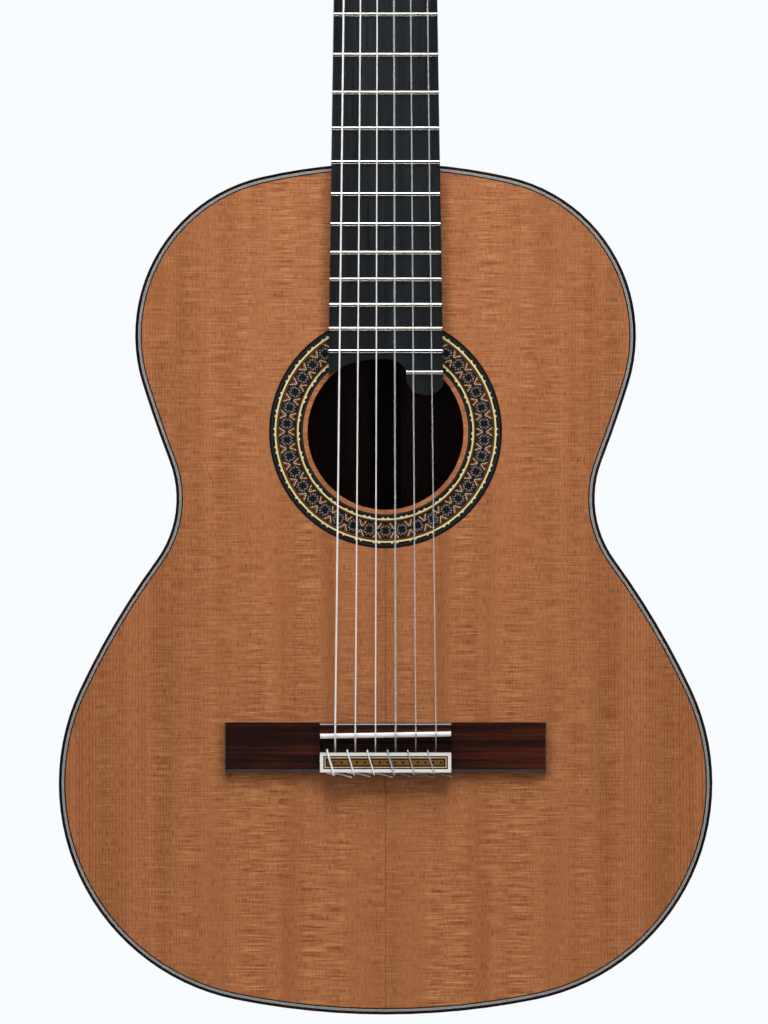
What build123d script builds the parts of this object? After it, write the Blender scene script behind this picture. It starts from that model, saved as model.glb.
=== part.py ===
"""Classical guitar with a slotted head and six geared tuning machines, built piece by piece.

Everything is drawn on a bench frame: X to the treble side, Y up the neck from the tail end, Z out of the
soundboard, with Z = 0 on the soundboard's outer face. The export stands the guitar up: +Z runs up the neck,
the strings face -Y, and the origin is at the tail end, on the centreline, halfway through the body's depth.
Sizes are in millimetres.
"""

from math import cos, pi, radians, sin, sqrt, tan
import os

from build123d import *

os.makedirs("parts", exist_ok=True)

# ---------------------------------------------------------------- scale and neck
SCALE_LENGTH = 650.0
COMPENSATION = 2.4  # the saddle's middle stands this much further back than the scale length
BODY_JOIN_FRET = 12
FRET_COUNT = 20
BODY_LENGTH = 488.0
HALF_SCALE = SCALE_LENGTH * (1 - 2 ** (-BODY_JOIN_FRET / 12))
NUT_Y = BODY_LENGTH + HALF_SCALE
SADDLE_Y = NUT_Y - SCALE_LENGTH - COMPENSATION

# ---------------------------------------------------------------- body outline, as tangent arcs
DRAWN_LENGTH = 488.0  # the body length that the heights and radii below are drawn for
FORM = BODY_LENGTH / DRAWN_LENGTH
LOWER_BOUT_WIDTH, LOWER_BOUT_Y, LOWER_BOUT_RADIUS = 374.6, 132.4 * FORM, 126.3 * FORM
WAIST_WIDTH, WAIST_Y, WAIST_RADIUS = 239.7, 295.7 * FORM, 60.0 * FORM
UPPER_BOUT_WIDTH, UPPER_BOUT_Y, UPPER_BOUT_RADIUS = 287.0, 389.3 * FORM, 93.0 * FORM
LOWER_FLANK_RADIUS = 450.0 * FORM
UPPER_FLANK_RADIUS = 745.0 * FORM

# ---------------------------------------------------------------- body shell
BODY_DEPTH = 99.5  # at the deepest point of the domed back
BACK_DOME_RADIUS = 7000.0
BACK_APEX_Y = 186.0 * FORM
SOUNDBOARD_THICKNESS = 2.4
BACK_THICKNESS = 2.6
RIB_THICKNESS = 2.2
BINDING_WIDTH, BINDING_HEIGHT = 1.5, 6.0
PURFLING_WIDTH, PURFLING_DEPTH = 2.3, 1.2
LINING_WIDTH, LINING_HEIGHT = 5.0, 14.0
BACK_STRIP_WIDTH = 5.0
TAIL_BLOCK_WIDTH, TAIL_BLOCK_LENGTH = 64.0, 15.0
END_GRAFT_WIDTH = 14.0

# ---------------------------------------------------------------- soundhole and rosette
SOUNDHOLE_FROM_JOIN = 154.0
SOUNDHOLE_Y = BODY_LENGTH - SOUNDHOLE_FROM_JOIN
SOUNDHOLE_RADIUS = 44.8
ROSETTE_INNER_RADIUS, ROSETTE_OUTER_RADIUS = 47.4, 66.8
ROSETTE_DEPTH = 1.2
PATCH_WIDTH, PATCH_THICKNESS = 136.0, 1.6

# ---------------------------------------------------------------- braces under the top and on the back
FAN_COUNT = 7
FAN_WIDTH, FAN_HEIGHT = 5.0, 4.2
BAR_WIDTH, BAR_HEIGHT = 6.0, 15.0
BAR_SOUNDHOLE_GAP = 17.0  # from the soundhole's edge to the nearer face of each harmonic bar
FAN_TOP_GAP = 5.2  # from the lower harmonic bar to the fan braces
FAN_TOP_Y = SOUNDHOLE_Y - SOUNDHOLE_RADIUS - BAR_SOUNDHOLE_GAP - BAR_WIDTH - FAN_TOP_GAP
FAN_BOTTOM_Y = 38.0
FAN_TOP_SPREAD, FAN_BOTTOM_SPREAD = 17.0, 34.0
BRACE_END_GAP = 0.4
BACK_BRACE_Y = (98.0 * FORM, 226.0 * FORM, 392.0 * FORM)
BACK_BRACE_WIDTH, BACK_BRACE_HEIGHT = 7.0, 13.0
CLEAT_WIDTH, CLEAT_HEIGHT = 18.0, 2.4

# ---------------------------------------------------------------- neck, heel and fingerboard
NUT_WIDTH = 52.0
JOIN_WIDTH = 62.0  # the fingerboard's width where the neck meets the body
FINGERBOARD_THICKNESS = 6.0
NECK_WOOD_AT_NUT, NECK_WOOD_AT_HEEL = 15.5, 18.0
HEEL_LENGTH, HEEL_CAP_LENGTH, HEEL_CAP_WIDTH = 86.0, 25.0, 26.0
HEEL_CAP_THICKNESS = 2.6
NECK_SHOULDER_SHARE, NECK_FLANK_SHARE = 0.42, 0.93  # where the section bends, of its depth and half width
HEEL_SIDE_INSET, HEEL_START_DEPTH = 5.5, 4.0  # the heel starts this far inside the shaft
HEEL_FLANK_SHARE, HEEL_NOSE_SHARE = 0.78, 0.62  # where a slice bends, of its half width and length
HEEL_SLICES = (
    (0.0, 1.0, 1.0), (0.12, 0.92, 0.62), (0.30, 0.55, 0.22), (0.62, 0.22, 0.06), (1.0, 0.0, 0.0)
)  # share of the way down to the cap, then the shares of the extra width and extra length left there
TENON_WIDTH = 46.0
NECK_BLOCK_WIDTH, NECK_BLOCK_LENGTH = 62.0, 26.0
FOOT_LENGTH, FOOT_HEIGHT = 20.0, 16.0
FRET_WIDTH, FRET_CROWN, FRET_TANG_WIDTH, FRET_TANG_DEPTH = 2.3, 1.05, 0.55, 1.8
FRET_END_GAP = 0.25
BOARD_END_GAP = 3.2  # how far the fingerboard's end overhangs the top of the soundhole
BOARD_END_RADIUS = 55.0
BOARD_END_X = -3.0  # the end's arc is centred a little to the bass side
TONGUE_REACH = 24.0  # the tongue under the two highest strings ends this far below the soundhole's top edge
TONGUE_RADIUS = 11.5
TONGUE_OVERHANG = 1.5  # how far the tongue's circle passes the fingerboard's treble edge
TONGUE_NECK_RADIUS = 10.0
TONGUE_NECK_X = 2.0
TONGUE_LEFT_SLOPE = 0.25
LAST_FRET_START_X = 11.8

# ---------------------------------------------------------------- nut, saddle and bridge
NUT_THICKNESS, NUT_HEIGHT = 5.2, 8.7
NUT_TOP_RADIUS = 1.2
NUT_SLOT_FALL = 0.62  # how steeply the nut's slots fall away towards the head
NUT_SLOT_RELIEF = 0.04
BRIDGE_LENGTH, BRIDGE_WIDTH = 184.0, 28.4
BRIDGE_FRONT_GAP = 7.0  # from the saddle's centreline to the bridge's front edge
SADDLE_SLANT = 1.0  # degrees; the bass end stands further back
TIE_BLOCK_LENGTH, TIE_BLOCK_WIDTH, TIE_BLOCK_HEIGHT = 75.0, 11.3, 7.6
SADDLE_BED_WIDTH, SADDLE_BED_HEIGHT = 10.2, 8.6
TROUGH_FLOOR = 2.6
WING_HEIGHT, WING_CHAMFER, WING_END_CHAMFER = 4.6, 1.6, 0.7
SADDLE_BED_RADIUS = 2.0
SADDLE_THICKNESS, SADDLE_SLOT_FLOOR, SADDLE_TOP = 2.8, 3.2, 11.95
SADDLE_END_GAP, SADDLE_ROUNDING = 0.15, 0.42  # from the block's ends, and of its thickness
SADDLE_SLOT_END_GAP = 0.1
FRAME_THICKNESS = 1.1
FRAME_BORDER = 1.9
STRING_HOLE_RADIUS = 0.8
STRING_HOLE_Z = 4.3

# ---------------------------------------------------------------- strings, from the first, the highest, on
STRING_DIAMETERS = (0.72, 0.82, 1.02, 0.76, 0.90, 1.10)
NUT_SPREAD, SADDLE_SPREAD = 42.5, 57.5
NUT_STRING_Z = 7.35  # the underside of each string as it leaves the nut
SADDLE_STRING_Z = 12.5
SADDLE_BREAK = 0.5  # the strings bend down this far behind the saddle's centreline
LOOP_PITCH = 4.6  # between the two holes of one string in the tie block
TAIL_LENGTH = 9.5
STRING_GAP = 0.12

# ---------------------------------------------------------------- head and tuning machines
HEAD_ANGLE = 12.0
HEAD_LENGTH = 186.0
HEAD_WIDTH = 73.0
HEAD_THICKNESS = 20.0
VENEER_THICKNESS = 2.5
SHOULDER_LENGTH = 20.0
CREST_RISE = 9.0
SHOULDER_BEND = (0.42, 0.48)  # where a shoulder's curve passes, of its width and length
CREST_BEND = (0.52, 0.62)  # where the crest's curve passes, of the half width and the rise
HEAD_SCOOP_LENGTH, HEAD_SCOOP_LIFT = 26.0, 0.6
SLOT_INNER_X, SLOT_WIDTH = 7.0, 16.5
SLOT_END_GAP = 15.0  # from the outer roller's axis to the slot's end
RAMP_LENGTH, RAMP_DEPTH = 22.0, 9.0
TUNER_FIRST, TUNER_PITCH = 46.0, 35.0
ROLLER_W = -10.0  # depth of the roller axes below the head's wooden face
ROLLER_RADIUS = 4.9
ROLLER_SOCKET_DEPTH = 4.5
RUNNING_CLEARANCE = 0.1
PRESS_CLEARANCE = 0.02
WINDING_X = (18.5, 16.0, 17.0)  # where each string meets its roller, from the roller nearest the nut
SPINDLE_RADIUS, SPINDLE_SCREW_RADIUS = 2.5, 1.0
PLATE_THICKNESS, PLATE_WIDTH = 1.2, 17.0
PLATE_END_GAP = 13.0
PLATE_CORNER_RADIUS = 3.5
GEAR_TEETH = 14
GEAR_PITCH_RADIUS, GEAR_FACE = 6.0, 3.0
TOOTH_ADDENDUM, TOOTH_DEDENDUM = 0.7, 0.95
GEAR_TOOTH_AT_PITCH, THREAD_AT_PITCH = 1.0, 0.95
FLANK_SLOPE = 0.36
HUB_RADIUS, HUB_LENGTH = 4.2, 3.3
WORM_PITCH_RADIUS, WORM_SHAFT_RADIUS = 3.0, 1.7
WORM_LENGTH = 8.6
LUG_THICKNESS, LUG_WIDTH = 2.4, 7.0
LUG_OVERHANG = 3.0
BUTTON_LENGTH, BUTTON_WIDTH, BUTTON_THICKNESS = 18.0, 14.5, 9.8
BUTTON_GAP = 3.4  # from the head's back face to the button
BUTTON_GRIP = 12.0
BUTTON_ROUNDING = 2.2
COLLAR_RADIUS, COLLAR_LENGTH = 3.2, 3.0
SCREW_HEAD_RADIUS, SCREW_HEAD_HEIGHT, SCREW_SHANK_RADIUS, SCREW_LENGTH = 2.4, 1.0, 1.1, 9.0
SCREW_SLOT_WIDTH, SCREW_SLOT_DEPTH = 0.6, 0.5
SCREW_LOW_GAP, SCREW_HIGH_GAP, SCREW_STEP_SHARE = 4.5, 3.6, 0.36
GEAR_SCREW_LENGTH, GEAR_SCREW_HEAD_RADIUS, GEAR_SCREW_HEAD_HEIGHT = 5.0, 3.4, 1.3
ROLLER_HOLE_RADIUS, ROLLER_END_GAP, ROLLER_END_CHAMFER = 1.0, 0.3, 0.4
THREAD_SUNK = 0.25  # how far the thread is let into the worm's core
CAP_RADIUS, CAP_HEIGHT, CAP_ROUNDING = 2.5, 1.2, 0.5
SHAFT_END_GAP = 0.2

WORM_CENTRE_DISTANCE = GEAR_PITCH_RADIUS + WORM_PITCH_RADIUS
WORM_LEAD = 2 * pi * GEAR_PITCH_RADIUS / GEAR_TEETH
HEAD_SIDE_X = HEAD_WIDTH / 2
PLATE_OUTER_X = HEAD_SIDE_X + PLATE_THICKNESS
GEAR_INNER_X = PLATE_OUTER_X + HUB_LENGTH
GEAR_MID_X = GEAR_INNER_X + GEAR_FACE / 2
NUT_BACK_Y = NUT_Y + NUT_THICKNESS
HEAD = Pos(0, NUT_BACK_Y, 0) * Rot(-HEAD_ANGLE, 0, 0)
UPRIGHT = Pos(0, -BODY_DEPTH / 2, 0) * Rot(90, 0, 0)
DEEP = 130.0  # longer than the body is deep, for cutting tools
FAR = 200.0  # far enough aside for an arc round it to stand in for a straight line


# ================================================================ shared shapes
def unit(v):
    return v / abs(v)


def meet(center_a, reach_a, center_b, reach_b):
    """The point reach_a from one centre and reach_b from the other, on the centreline's side."""
    gap = abs(center_b - center_a)
    along = (reach_a**2 - reach_b**2 + gap**2) / (2 * gap)
    aside = sqrt(reach_a**2 - along**2)
    step = unit(center_b - center_a)
    both = [center_a + step * along + step * 1j * aside * side for side in (1, -1)]
    return min(both, key=lambda p: p.real)


def end_arc_radius(half_width, height, radius):
    """The radius of an arc centred on the centreline that is tangent to a bout's arc."""
    reach = half_width - radius
    return (reach**2 + height**2 - radius**2) / (2 * (height - radius))


def outline_arcs(inset):
    """The outline's right half from tail to neck, moved inwards, as (centre, radius, start, end)."""
    lower = complex(LOWER_BOUT_WIDTH / 2 - LOWER_BOUT_RADIUS, LOWER_BOUT_Y)
    waist = complex(WAIST_WIDTH / 2 + WAIST_RADIUS, WAIST_Y)
    upper = complex(UPPER_BOUT_WIDTH / 2 - UPPER_BOUT_RADIUS, UPPER_BOUT_Y)
    low_reach, high_reach = LOWER_FLANK_RADIUS - LOWER_BOUT_RADIUS, UPPER_FLANK_RADIUS - UPPER_BOUT_RADIUS
    lower_flank = meet(lower, low_reach, waist, LOWER_FLANK_RADIUS + WAIST_RADIUS)
    upper_flank = meet(upper, high_reach, waist, UPPER_FLANK_RADIUS + WAIST_RADIUS)
    tail_radius = end_arc_radius(LOWER_BOUT_WIDTH / 2, LOWER_BOUT_Y, LOWER_BOUT_RADIUS)
    top_radius = end_arc_radius(UPPER_BOUT_WIDTH / 2, BODY_LENGTH - UPPER_BOUT_Y, UPPER_BOUT_RADIUS)
    tail = complex(0, tail_radius)
    top = complex(0, BODY_LENGTH - top_radius)
    joins = [
        0j,
        tail + unit(lower - tail) * tail_radius,
        lower_flank + unit(lower - lower_flank) * LOWER_FLANK_RADIUS,
        lower_flank + unit(waist - lower_flank) * LOWER_FLANK_RADIUS,
        upper_flank + unit(waist - upper_flank) * UPPER_FLANK_RADIUS,
        upper_flank + unit(upper - upper_flank) * UPPER_FLANK_RADIUS,
        top + unit(upper - top) * top_radius,
        complex(0, BODY_LENGTH),
    ]
    centres = [tail, lower, lower_flank, waist, upper_flank, upper, top]
    radii = [
        tail_radius,
        LOWER_BOUT_RADIUS,
        LOWER_FLANK_RADIUS,
        WAIST_RADIUS,
        UPPER_FLANK_RADIUS,
        UPPER_BOUT_RADIUS,
        top_radius,
    ]
    arcs = []
    for k, (centre, radius) in enumerate(zip(centres, radii)):
        moved = radius + inset if centre is waist else radius - inset
        start, end = (centre + unit(p - centre) * moved for p in joins[k : k + 2])
        arcs.append((centre, moved, start, end))
    return arcs


def xy(p, side=1):
    return (p.real * side, p.imag)


def body_face(inset=0.0):
    """The body's outline as a face, moved inwards by inset."""
    arcs = outline_arcs(inset)
    tail_centre, tail_radius, _, tail_end = arcs[0]
    top_centre, top_radius, top_start, _ = arcs[-1]
    edges = [
        ThreePointArc(xy(tail_end, -1), xy(tail_centre - tail_radius * 1j), xy(tail_end)),
        ThreePointArc(xy(top_start), xy(top_centre + top_radius * 1j), xy(top_start, -1)),
    ]
    for centre, radius, start, end in arcs[1:-1]:
        middle = centre + unit(unit(start - centre) + unit(end - centre)) * radius
        edges += [ThreePointArc(xy(start, side), xy(middle, side), xy(end, side)) for side in (1, -1)]
    return make_face(edges)


def body_slab(inset, bottom, top):
    """The body's outline, moved inwards, between two heights."""
    return extrude(Pos(0, 0, bottom) * body_face(inset), top - bottom)


def body_ring(outer_inset, inner_inset, bottom, top):
    return body_slab(outer_inset, bottom, top) - body_slab(inner_inset, bottom, top)


def block(x0, x1, y0, y1, z0, z1):
    """A box between two corners."""
    return Pos((x0 + x1) / 2, (y0 + y1) / 2, (z0 + z1) / 2) * Box(x1 - x0, y1 - y0, z1 - z0)


def back_ball(inward=0.0):
    """The ball whose lower side is the domed back's surface, moved into the body by inward."""
    centre_z = BACK_DOME_RADIUS - BODY_DEPTH
    return Pos(0, BACK_APEX_Y, centre_z) * Rot(0, 90, 0) * Sphere(BACK_DOME_RADIUS - inward)


def rod(start, end, radius):
    """A round bar between two points."""
    a, b = Vector(*start), Vector(*end)
    return extrude(Plane(a, z_dir=b - a) * Circle(radius), (b - a).length)


def side_prism(points, x0, x1):
    """A prism across the guitar with its outline in the Y-Z plane."""
    face = Plane.YZ.offset(x0) * make_face(Polyline(*points, close=True))
    return extrude(face, x1 - x0, dir=(1, 0, 0))


def both_sides(shape):
    return [shape, mirror(shape, Plane.YZ)]


def fret_y(number):
    return NUT_Y - SCALE_LENGTH * (1 - 2 ** (-number / 12))


def board_half_width(y):
    return NUT_WIDTH / 2 + (JOIN_WIDTH - NUT_WIDTH) / 2 * (NUT_Y - y) / HALF_SCALE


# ================================================================ the body
def tenon():
    """The part of the neck that passes between the ends of the two ribs."""
    half = TENON_WIDTH / 2
    inner_y = BODY_LENGTH - NECK_BLOCK_LENGTH / 2
    through = block(-half, half, inner_y, BODY_LENGTH + 1, -DEEP, -SOUNDBOARD_THICKNESS)
    return through & back_ball(BACK_THICKNESS)


def neck_block():
    half = NECK_BLOCK_WIDTH / 2
    top = BODY_LENGTH - RIB_THICKNESS
    tall = block(-half, half, top - NECK_BLOCK_LENGTH, BODY_LENGTH, -DEEP, -SOUNDBOARD_THICKNESS)
    foot = block(-half, half, top - NECK_BLOCK_LENGTH - FOOT_LENGTH, top - 1, -DEEP, FOOT_HEIGHT - BODY_DEPTH)
    return (tall + foot) & body_slab(RIB_THICKNESS, -DEEP, 0) & back_ball(BACK_THICKNESS)


def tail_block():
    half = TAIL_BLOCK_WIDTH / 2
    wood = block(-half, half, 0, RIB_THICKNESS + TAIL_BLOCK_LENGTH, -DEEP, -SOUNDBOARD_THICKNESS)
    return wood & body_slab(RIB_THICKNESS, -DEEP, 0) & back_ball(BACK_THICKNESS)


def top_binding():
    return body_ring(0, BINDING_WIDTH, -BINDING_HEIGHT, 0) - tenon()


def back_binding():
    ring = body_ring(0, BINDING_WIDTH, -DEEP, -BODY_DEPTH / 2) & back_ball()
    return ring - back_ball(BINDING_HEIGHT) - tenon()


def top_purfling():
    return body_ring(BINDING_WIDTH, BINDING_WIDTH + PURFLING_WIDTH, -PURFLING_DEPTH, 0)


def rib_ring():
    ring = body_ring(0, RIB_THICKNESS, -DEEP, -SOUNDBOARD_THICKNESS) & back_ball(BACK_THICKNESS)
    return ring - top_binding() - back_binding() - tenon()


def graft_box():
    half = END_GRAFT_WIDTH / 2
    return block(-half, half, -1, RIB_THICKNESS + 2, -DEEP, 0)


def ribs():
    """The two bent sides; the graft at the tail and the tenon at the neck part them."""
    return rib_ring() - graft_box()


def end_graft():
    return rib_ring() & graft_box()


def soundhole(bottom, top, radius=SOUNDHOLE_RADIUS):
    return Pos(0, SOUNDHOLE_Y, (bottom + top) / 2) * Cylinder(radius, top - bottom)


def rosette():
    outer = soundhole(-ROSETTE_DEPTH, 0, ROSETTE_OUTER_RADIUS)
    return outer - soundhole(-ROSETTE_DEPTH, 0, ROSETTE_INNER_RADIUS)


def soundboard():
    plate = body_slab(BINDING_WIDTH, -SOUNDBOARD_THICKNESS, 0)
    plate -= soundhole(-SOUNDBOARD_THICKNESS, 0)
    return plate - rosette() - top_purfling()


def harmonic_bar_y(side):
    """The middle of the bar below (-1) or above (1) the soundhole."""
    return SOUNDHOLE_Y + side * (SOUNDHOLE_RADIUS + BAR_SOUNDHOLE_GAP + BAR_WIDTH / 2)


def inside_linings(bottom, top):
    return body_slab(RIB_THICKNESS + LINING_WIDTH + BRACE_END_GAP, bottom, top)


def harmonic_bars():
    """The two tall bars across the soundboard, with their ends scooped down to the linings."""
    under = -SOUNDBOARD_THICKNESS
    bars = []
    for side in (-1, 1):
        y = harmonic_bar_y(side)
        bar = block(-DEEP, DEEP, y - BAR_WIDTH / 2, y + BAR_WIDTH / 2, under - BAR_HEIGHT, under)
        bars.append(bar & inside_linings(under - BAR_HEIGHT, under))
    return Compound(bars)


def soundhole_patch():
    under = -SOUNDBOARD_THICKNESS
    low = harmonic_bar_y(-1) + BAR_WIDTH / 2
    high = harmonic_bar_y(1) - BAR_WIDTH / 2
    plate = block(-PATCH_WIDTH / 2, PATCH_WIDTH / 2, low, high, under - PATCH_THICKNESS, under)
    return plate - soundhole(under - PATCH_THICKNESS, under)


def fan_braces():
    """Seven struts that fan out from the lower harmonic bar towards the tail."""
    under = -SOUNDBOARD_THICKNESS
    room = inside_linings(under - FAN_HEIGHT, under) - tail_block()
    struts = []
    for k in range(FAN_COUNT):
        place = k - (FAN_COUNT - 1) / 2
        top, bottom = place * FAN_TOP_SPREAD, place * FAN_BOTTOM_SPREAD
        half = FAN_WIDTH / 2
        corners = [(top - half, FAN_TOP_Y), (top + half, FAN_TOP_Y), (bottom + half, FAN_BOTTOM_Y)]
        face = make_face(Polyline(*corners, (bottom - half, FAN_BOTTOM_Y), close=True))
        struts.append(extrude(Pos(0, 0, under - FAN_HEIGHT) * face, FAN_HEIGHT) & room)
    return Compound(struts)


def linings():
    """The glue strips in the four inside corners, parted by the tail block and the neck block."""
    under = -SOUNDBOARD_THICKNESS
    ring = body_ring(RIB_THICKNESS, RIB_THICKNESS + LINING_WIDTH, -DEEP, under) & back_ball(BACK_THICKNESS)
    blocks = tail_block() + neck_block() + tenon()
    upper = ring & body_slab(0, under - LINING_HEIGHT, under)
    lower = ring - back_ball(BACK_THICKNESS + LINING_HEIGHT)
    return Compound((upper - blocks).solids() + (lower - blocks).solids())


def back_shell():
    plate = body_slab(BINDING_WIDTH, -DEEP, -BODY_DEPTH / 2) & back_ball()
    return plate - back_ball(BACK_THICKNESS)


def back_strip_box():
    return block(-BACK_STRIP_WIDTH / 2, BACK_STRIP_WIDTH / 2, -5, BODY_LENGTH + 5, -DEEP, 0)


def back_braces():
    bars = []
    for y in BACK_BRACE_Y:
        bar = block(-DEEP * 2, DEEP * 2, y - BACK_BRACE_WIDTH / 2, y + BACK_BRACE_WIDTH / 2, -DEEP, 0)
        bar &= inside_linings(-DEEP, 0)
        bar &= back_ball(BACK_THICKNESS)
        bars.append(bar - back_ball(BACK_THICKNESS + BACK_BRACE_HEIGHT))
    return Compound(bars)


def back_cleats():
    """The flat strip over the back's centre seam, in lengths between the back braces."""
    low = RIB_THICKNESS + TAIL_BLOCK_LENGTH
    high = BODY_LENGTH - RIB_THICKNESS - NECK_BLOCK_LENGTH - FOOT_LENGTH
    strip = block(-CLEAT_WIDTH / 2, CLEAT_WIDTH / 2, low, high, -DEEP, 0)
    strip &= back_ball(BACK_THICKNESS)
    strip -= back_ball(BACK_THICKNESS + CLEAT_HEIGHT)
    return Compound((strip - back_braces()).solids())


# ================================================================ neck and fingerboard
def neck_section(y, half_width, depth):
    """A D-shaped section across the neck, flat on top."""
    top_left, top_right = (-half_width, 0), (half_width, 0)
    shoulder = depth * NECK_SHOULDER_SHARE
    flank = half_width * NECK_FLANK_SHARE
    bottom = Spline(
        top_right, (flank, -shoulder), (0, -depth), (-flank, -shoulder), top_left,
        tangents=((0.1, -1), (0.1, 1)),
    )
    plane = Plane((0, y, 0), x_dir=(1, 0, 0), z_dir=(0, -1, 0))
    return plane * make_face([Line(top_left, top_right), bottom])


def neck_shaft():
    low = BODY_LENGTH - 2
    sections = [
        neck_section(low, board_half_width(low), NECK_WOOD_AT_HEEL),
        neck_section(NUT_BACK_Y, NUT_WIDTH / 2, NECK_WOOD_AT_NUT),
    ]
    return loft(sections, ruled=True)


def heel_section(z, half_width, length):
    """A level slice of the heel: flat against the body, round at the nose."""
    base = BODY_LENGTH - 6
    nose = BODY_LENGTH + length
    flank_x, flank_y = half_width * HEEL_FLANK_SHARE, base + (nose - base) * HEEL_NOSE_SHARE
    edge = Spline(
        (half_width, base), (flank_x, flank_y), (0, nose), (-flank_x, flank_y), (-half_width, base),
        tangents=((0, 1), (0, -1)),
    )
    return Pos(0, 0, z) * make_face([Line((-half_width, base), (half_width, base)), edge])


def heel_floor():
    return -(BODY_DEPTH - (BODY_LENGTH - BACK_APEX_Y) ** 2 / (2 * BACK_DOME_RADIUS))


def heel():
    """The heel, narrowing from the fingerboard's width to the cap."""
    floor = heel_floor() + HEEL_CAP_THICKNESS
    root_half, cap_half = JOIN_WIDTH / 2 - HEEL_SIDE_INSET, HEEL_CAP_WIDTH / 2
    start = -HEEL_START_DEPTH
    sections = []
    for share, wide, long in HEEL_SLICES:
        half = cap_half + (root_half - cap_half) * wide
        length = HEEL_CAP_LENGTH + (HEEL_LENGTH - HEEL_CAP_LENGTH) * long
        sections.append(heel_section(start + (floor - start) * share, half, length))
    return loft(sections)


def outside_body(shape):
    return shape - body_slab(0, -DEEP, 1)


def neck():
    """Shaft, heel, tenon, block and foot, which the maker carves from one stack of wood."""
    shaft = outside_body(neck_shaft() + heel())
    tenon_through = tenon() & body_slab(0, -DEEP, 0)
    tenon_through &= block(-DEEP, DEEP, 0, DEEP * 5, heel_floor() + HEEL_CAP_THICKNESS, 0)
    return shaft + (tenon_through + neck_block())


def heel_cap():
    floor = heel_floor()
    slice_of_heel = extrude(heel_section(floor, HEEL_CAP_WIDTH / 2, HEEL_CAP_LENGTH), HEEL_CAP_THICKNESS)
    return outside_body(slice_of_heel)


def board_outline():
    """The fingerboard from above, with the curved end over the soundhole and the tongue for the last fret."""
    hole_top = SOUNDHOLE_Y + SOUNDHOLE_RADIUS
    arch = hole_top - BOARD_END_GAP
    arc_centre = complex(BOARD_END_X, arch - BOARD_END_RADIUS)
    left_x = -board_half_width(arch)
    left_y = arc_centre.imag + sqrt(BOARD_END_RADIUS**2 - (left_x - arc_centre.real) ** 2)
    tongue_low = hole_top - TONGUE_REACH
    right_x = board_half_width(tongue_low)
    tongue_centre = complex(right_x - TONGUE_RADIUS + TONGUE_OVERHANG, tongue_low + TONGUE_RADIUS)
    tongue_right_y = tongue_centre.imag - sqrt(TONGUE_RADIUS**2 - (right_x - tongue_centre.real) ** 2)
    # The small arc that turns from the arch down into the tongue touches both.
    far = complex(FAR, tongue_centre.imag)
    turn = meet(arc_centre, BOARD_END_RADIUS - TONGUE_NECK_RADIUS, far, FAR - TONGUE_NECK_X)
    turn_in = arc_centre + unit(turn - arc_centre) * BOARD_END_RADIUS
    turn_out = turn + TONGUE_NECK_RADIUS
    tongue_left = tongue_centre - TONGUE_RADIUS * unit(complex(1, TONGUE_LEFT_SLOPE))
    turn_mid = turn + TONGUE_NECK_RADIUS * unit(unit(turn_in - turn) + unit(turn_out - turn))
    left_way, right_way = unit(complex(left_x, left_y) - arc_centre), unit(turn_in - arc_centre)
    arch_mid = arc_centre + BOARD_END_RADIUS * unit(left_way + right_way)
    corner_l, corner_r = (-NUT_WIDTH / 2, NUT_Y), (NUT_WIDTH / 2, NUT_Y)
    return make_face(
        [
            Line(corner_r, corner_l),
            Line(corner_l, (left_x, left_y)),
            ThreePointArc((left_x, left_y), xy(arch_mid), xy(turn_in)),
            ThreePointArc(xy(turn_in), xy(turn_mid), xy(turn_out)),
            Line(xy(turn_out), xy(tongue_left)),
            ThreePointArc(xy(tongue_left), (tongue_centre.real, tongue_low), (right_x, tongue_right_y)),
            Line((right_x, tongue_right_y), corner_r),
        ]
    )


def fret_span(number):
    half = board_half_width(fret_y(number)) - FRET_END_GAP
    start = LAST_FRET_START_X if number == FRET_COUNT else -half
    return start, half


def fret_tang(number, grow=0.0):
    start, end = fret_span(number)
    half = FRET_TANG_WIDTH / 2 + grow
    top = FINGERBOARD_THICKNESS
    y = fret_y(number)
    return block(start - grow, end + grow, y - half, y + half, top - FRET_TANG_DEPTH - grow, top)


def frets():
    """Twenty frets, each a crowned wire with its tang in a slot."""
    wires = []
    for number in range(1, FRET_COUNT + 1):
        start, end = fret_span(number)
        low, high = fret_y(number) - FRET_WIDTH / 2, fret_y(number) + FRET_WIDTH / 2
        base = FINGERBOARD_THICKNESS
        crown = [
            Line((low, base), (high, base)),
            ThreePointArc((high, base), (fret_y(number), base + FRET_CROWN), (low, base)),
        ]
        face = Plane.YZ.offset(start) * make_face(crown)
        wires.append(extrude(face, end - start, dir=(1, 0, 0)) + fret_tang(number))
    return Compound(wires)


def fingerboard():
    board = extrude(board_outline(), FINGERBOARD_THICKNESS)
    for number in range(1, FRET_COUNT + 1):
        board -= fret_tang(number, PRESS_CLEARANCE)
    return board


# ================================================================ strings, nut, saddle and bridge
def string_share(number):
    """Where a string lies across the neck: -0.5 for the sixth, 0.5 for the first."""
    return 0.5 - (number - 1) / (len(STRING_DIAMETERS) - 1)


def nut_x(number):
    return NUT_SPREAD * string_share(number)


def saddle_x(number):
    return SADDLE_SPREAD * string_share(number)


def string_radius(number):
    return STRING_DIAMETERS[number - 1] / 2


def tuner_side(number):
    """1 on the treble side, which holds strings 1 to 3, and -1 on the bass side."""
    return 1 if number <= 3 else -1


def tuner_step(number):
    """0 for the machine nearest the nut, then 1 and 2."""
    return number - 1 if number <= 3 else 6 - number


def roller_u(number):
    return TUNER_FIRST + TUNER_PITCH * tuner_step(number)


def wound_x(number):
    return tuner_side(number) * WINDING_X[tuner_step(number)]


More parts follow.
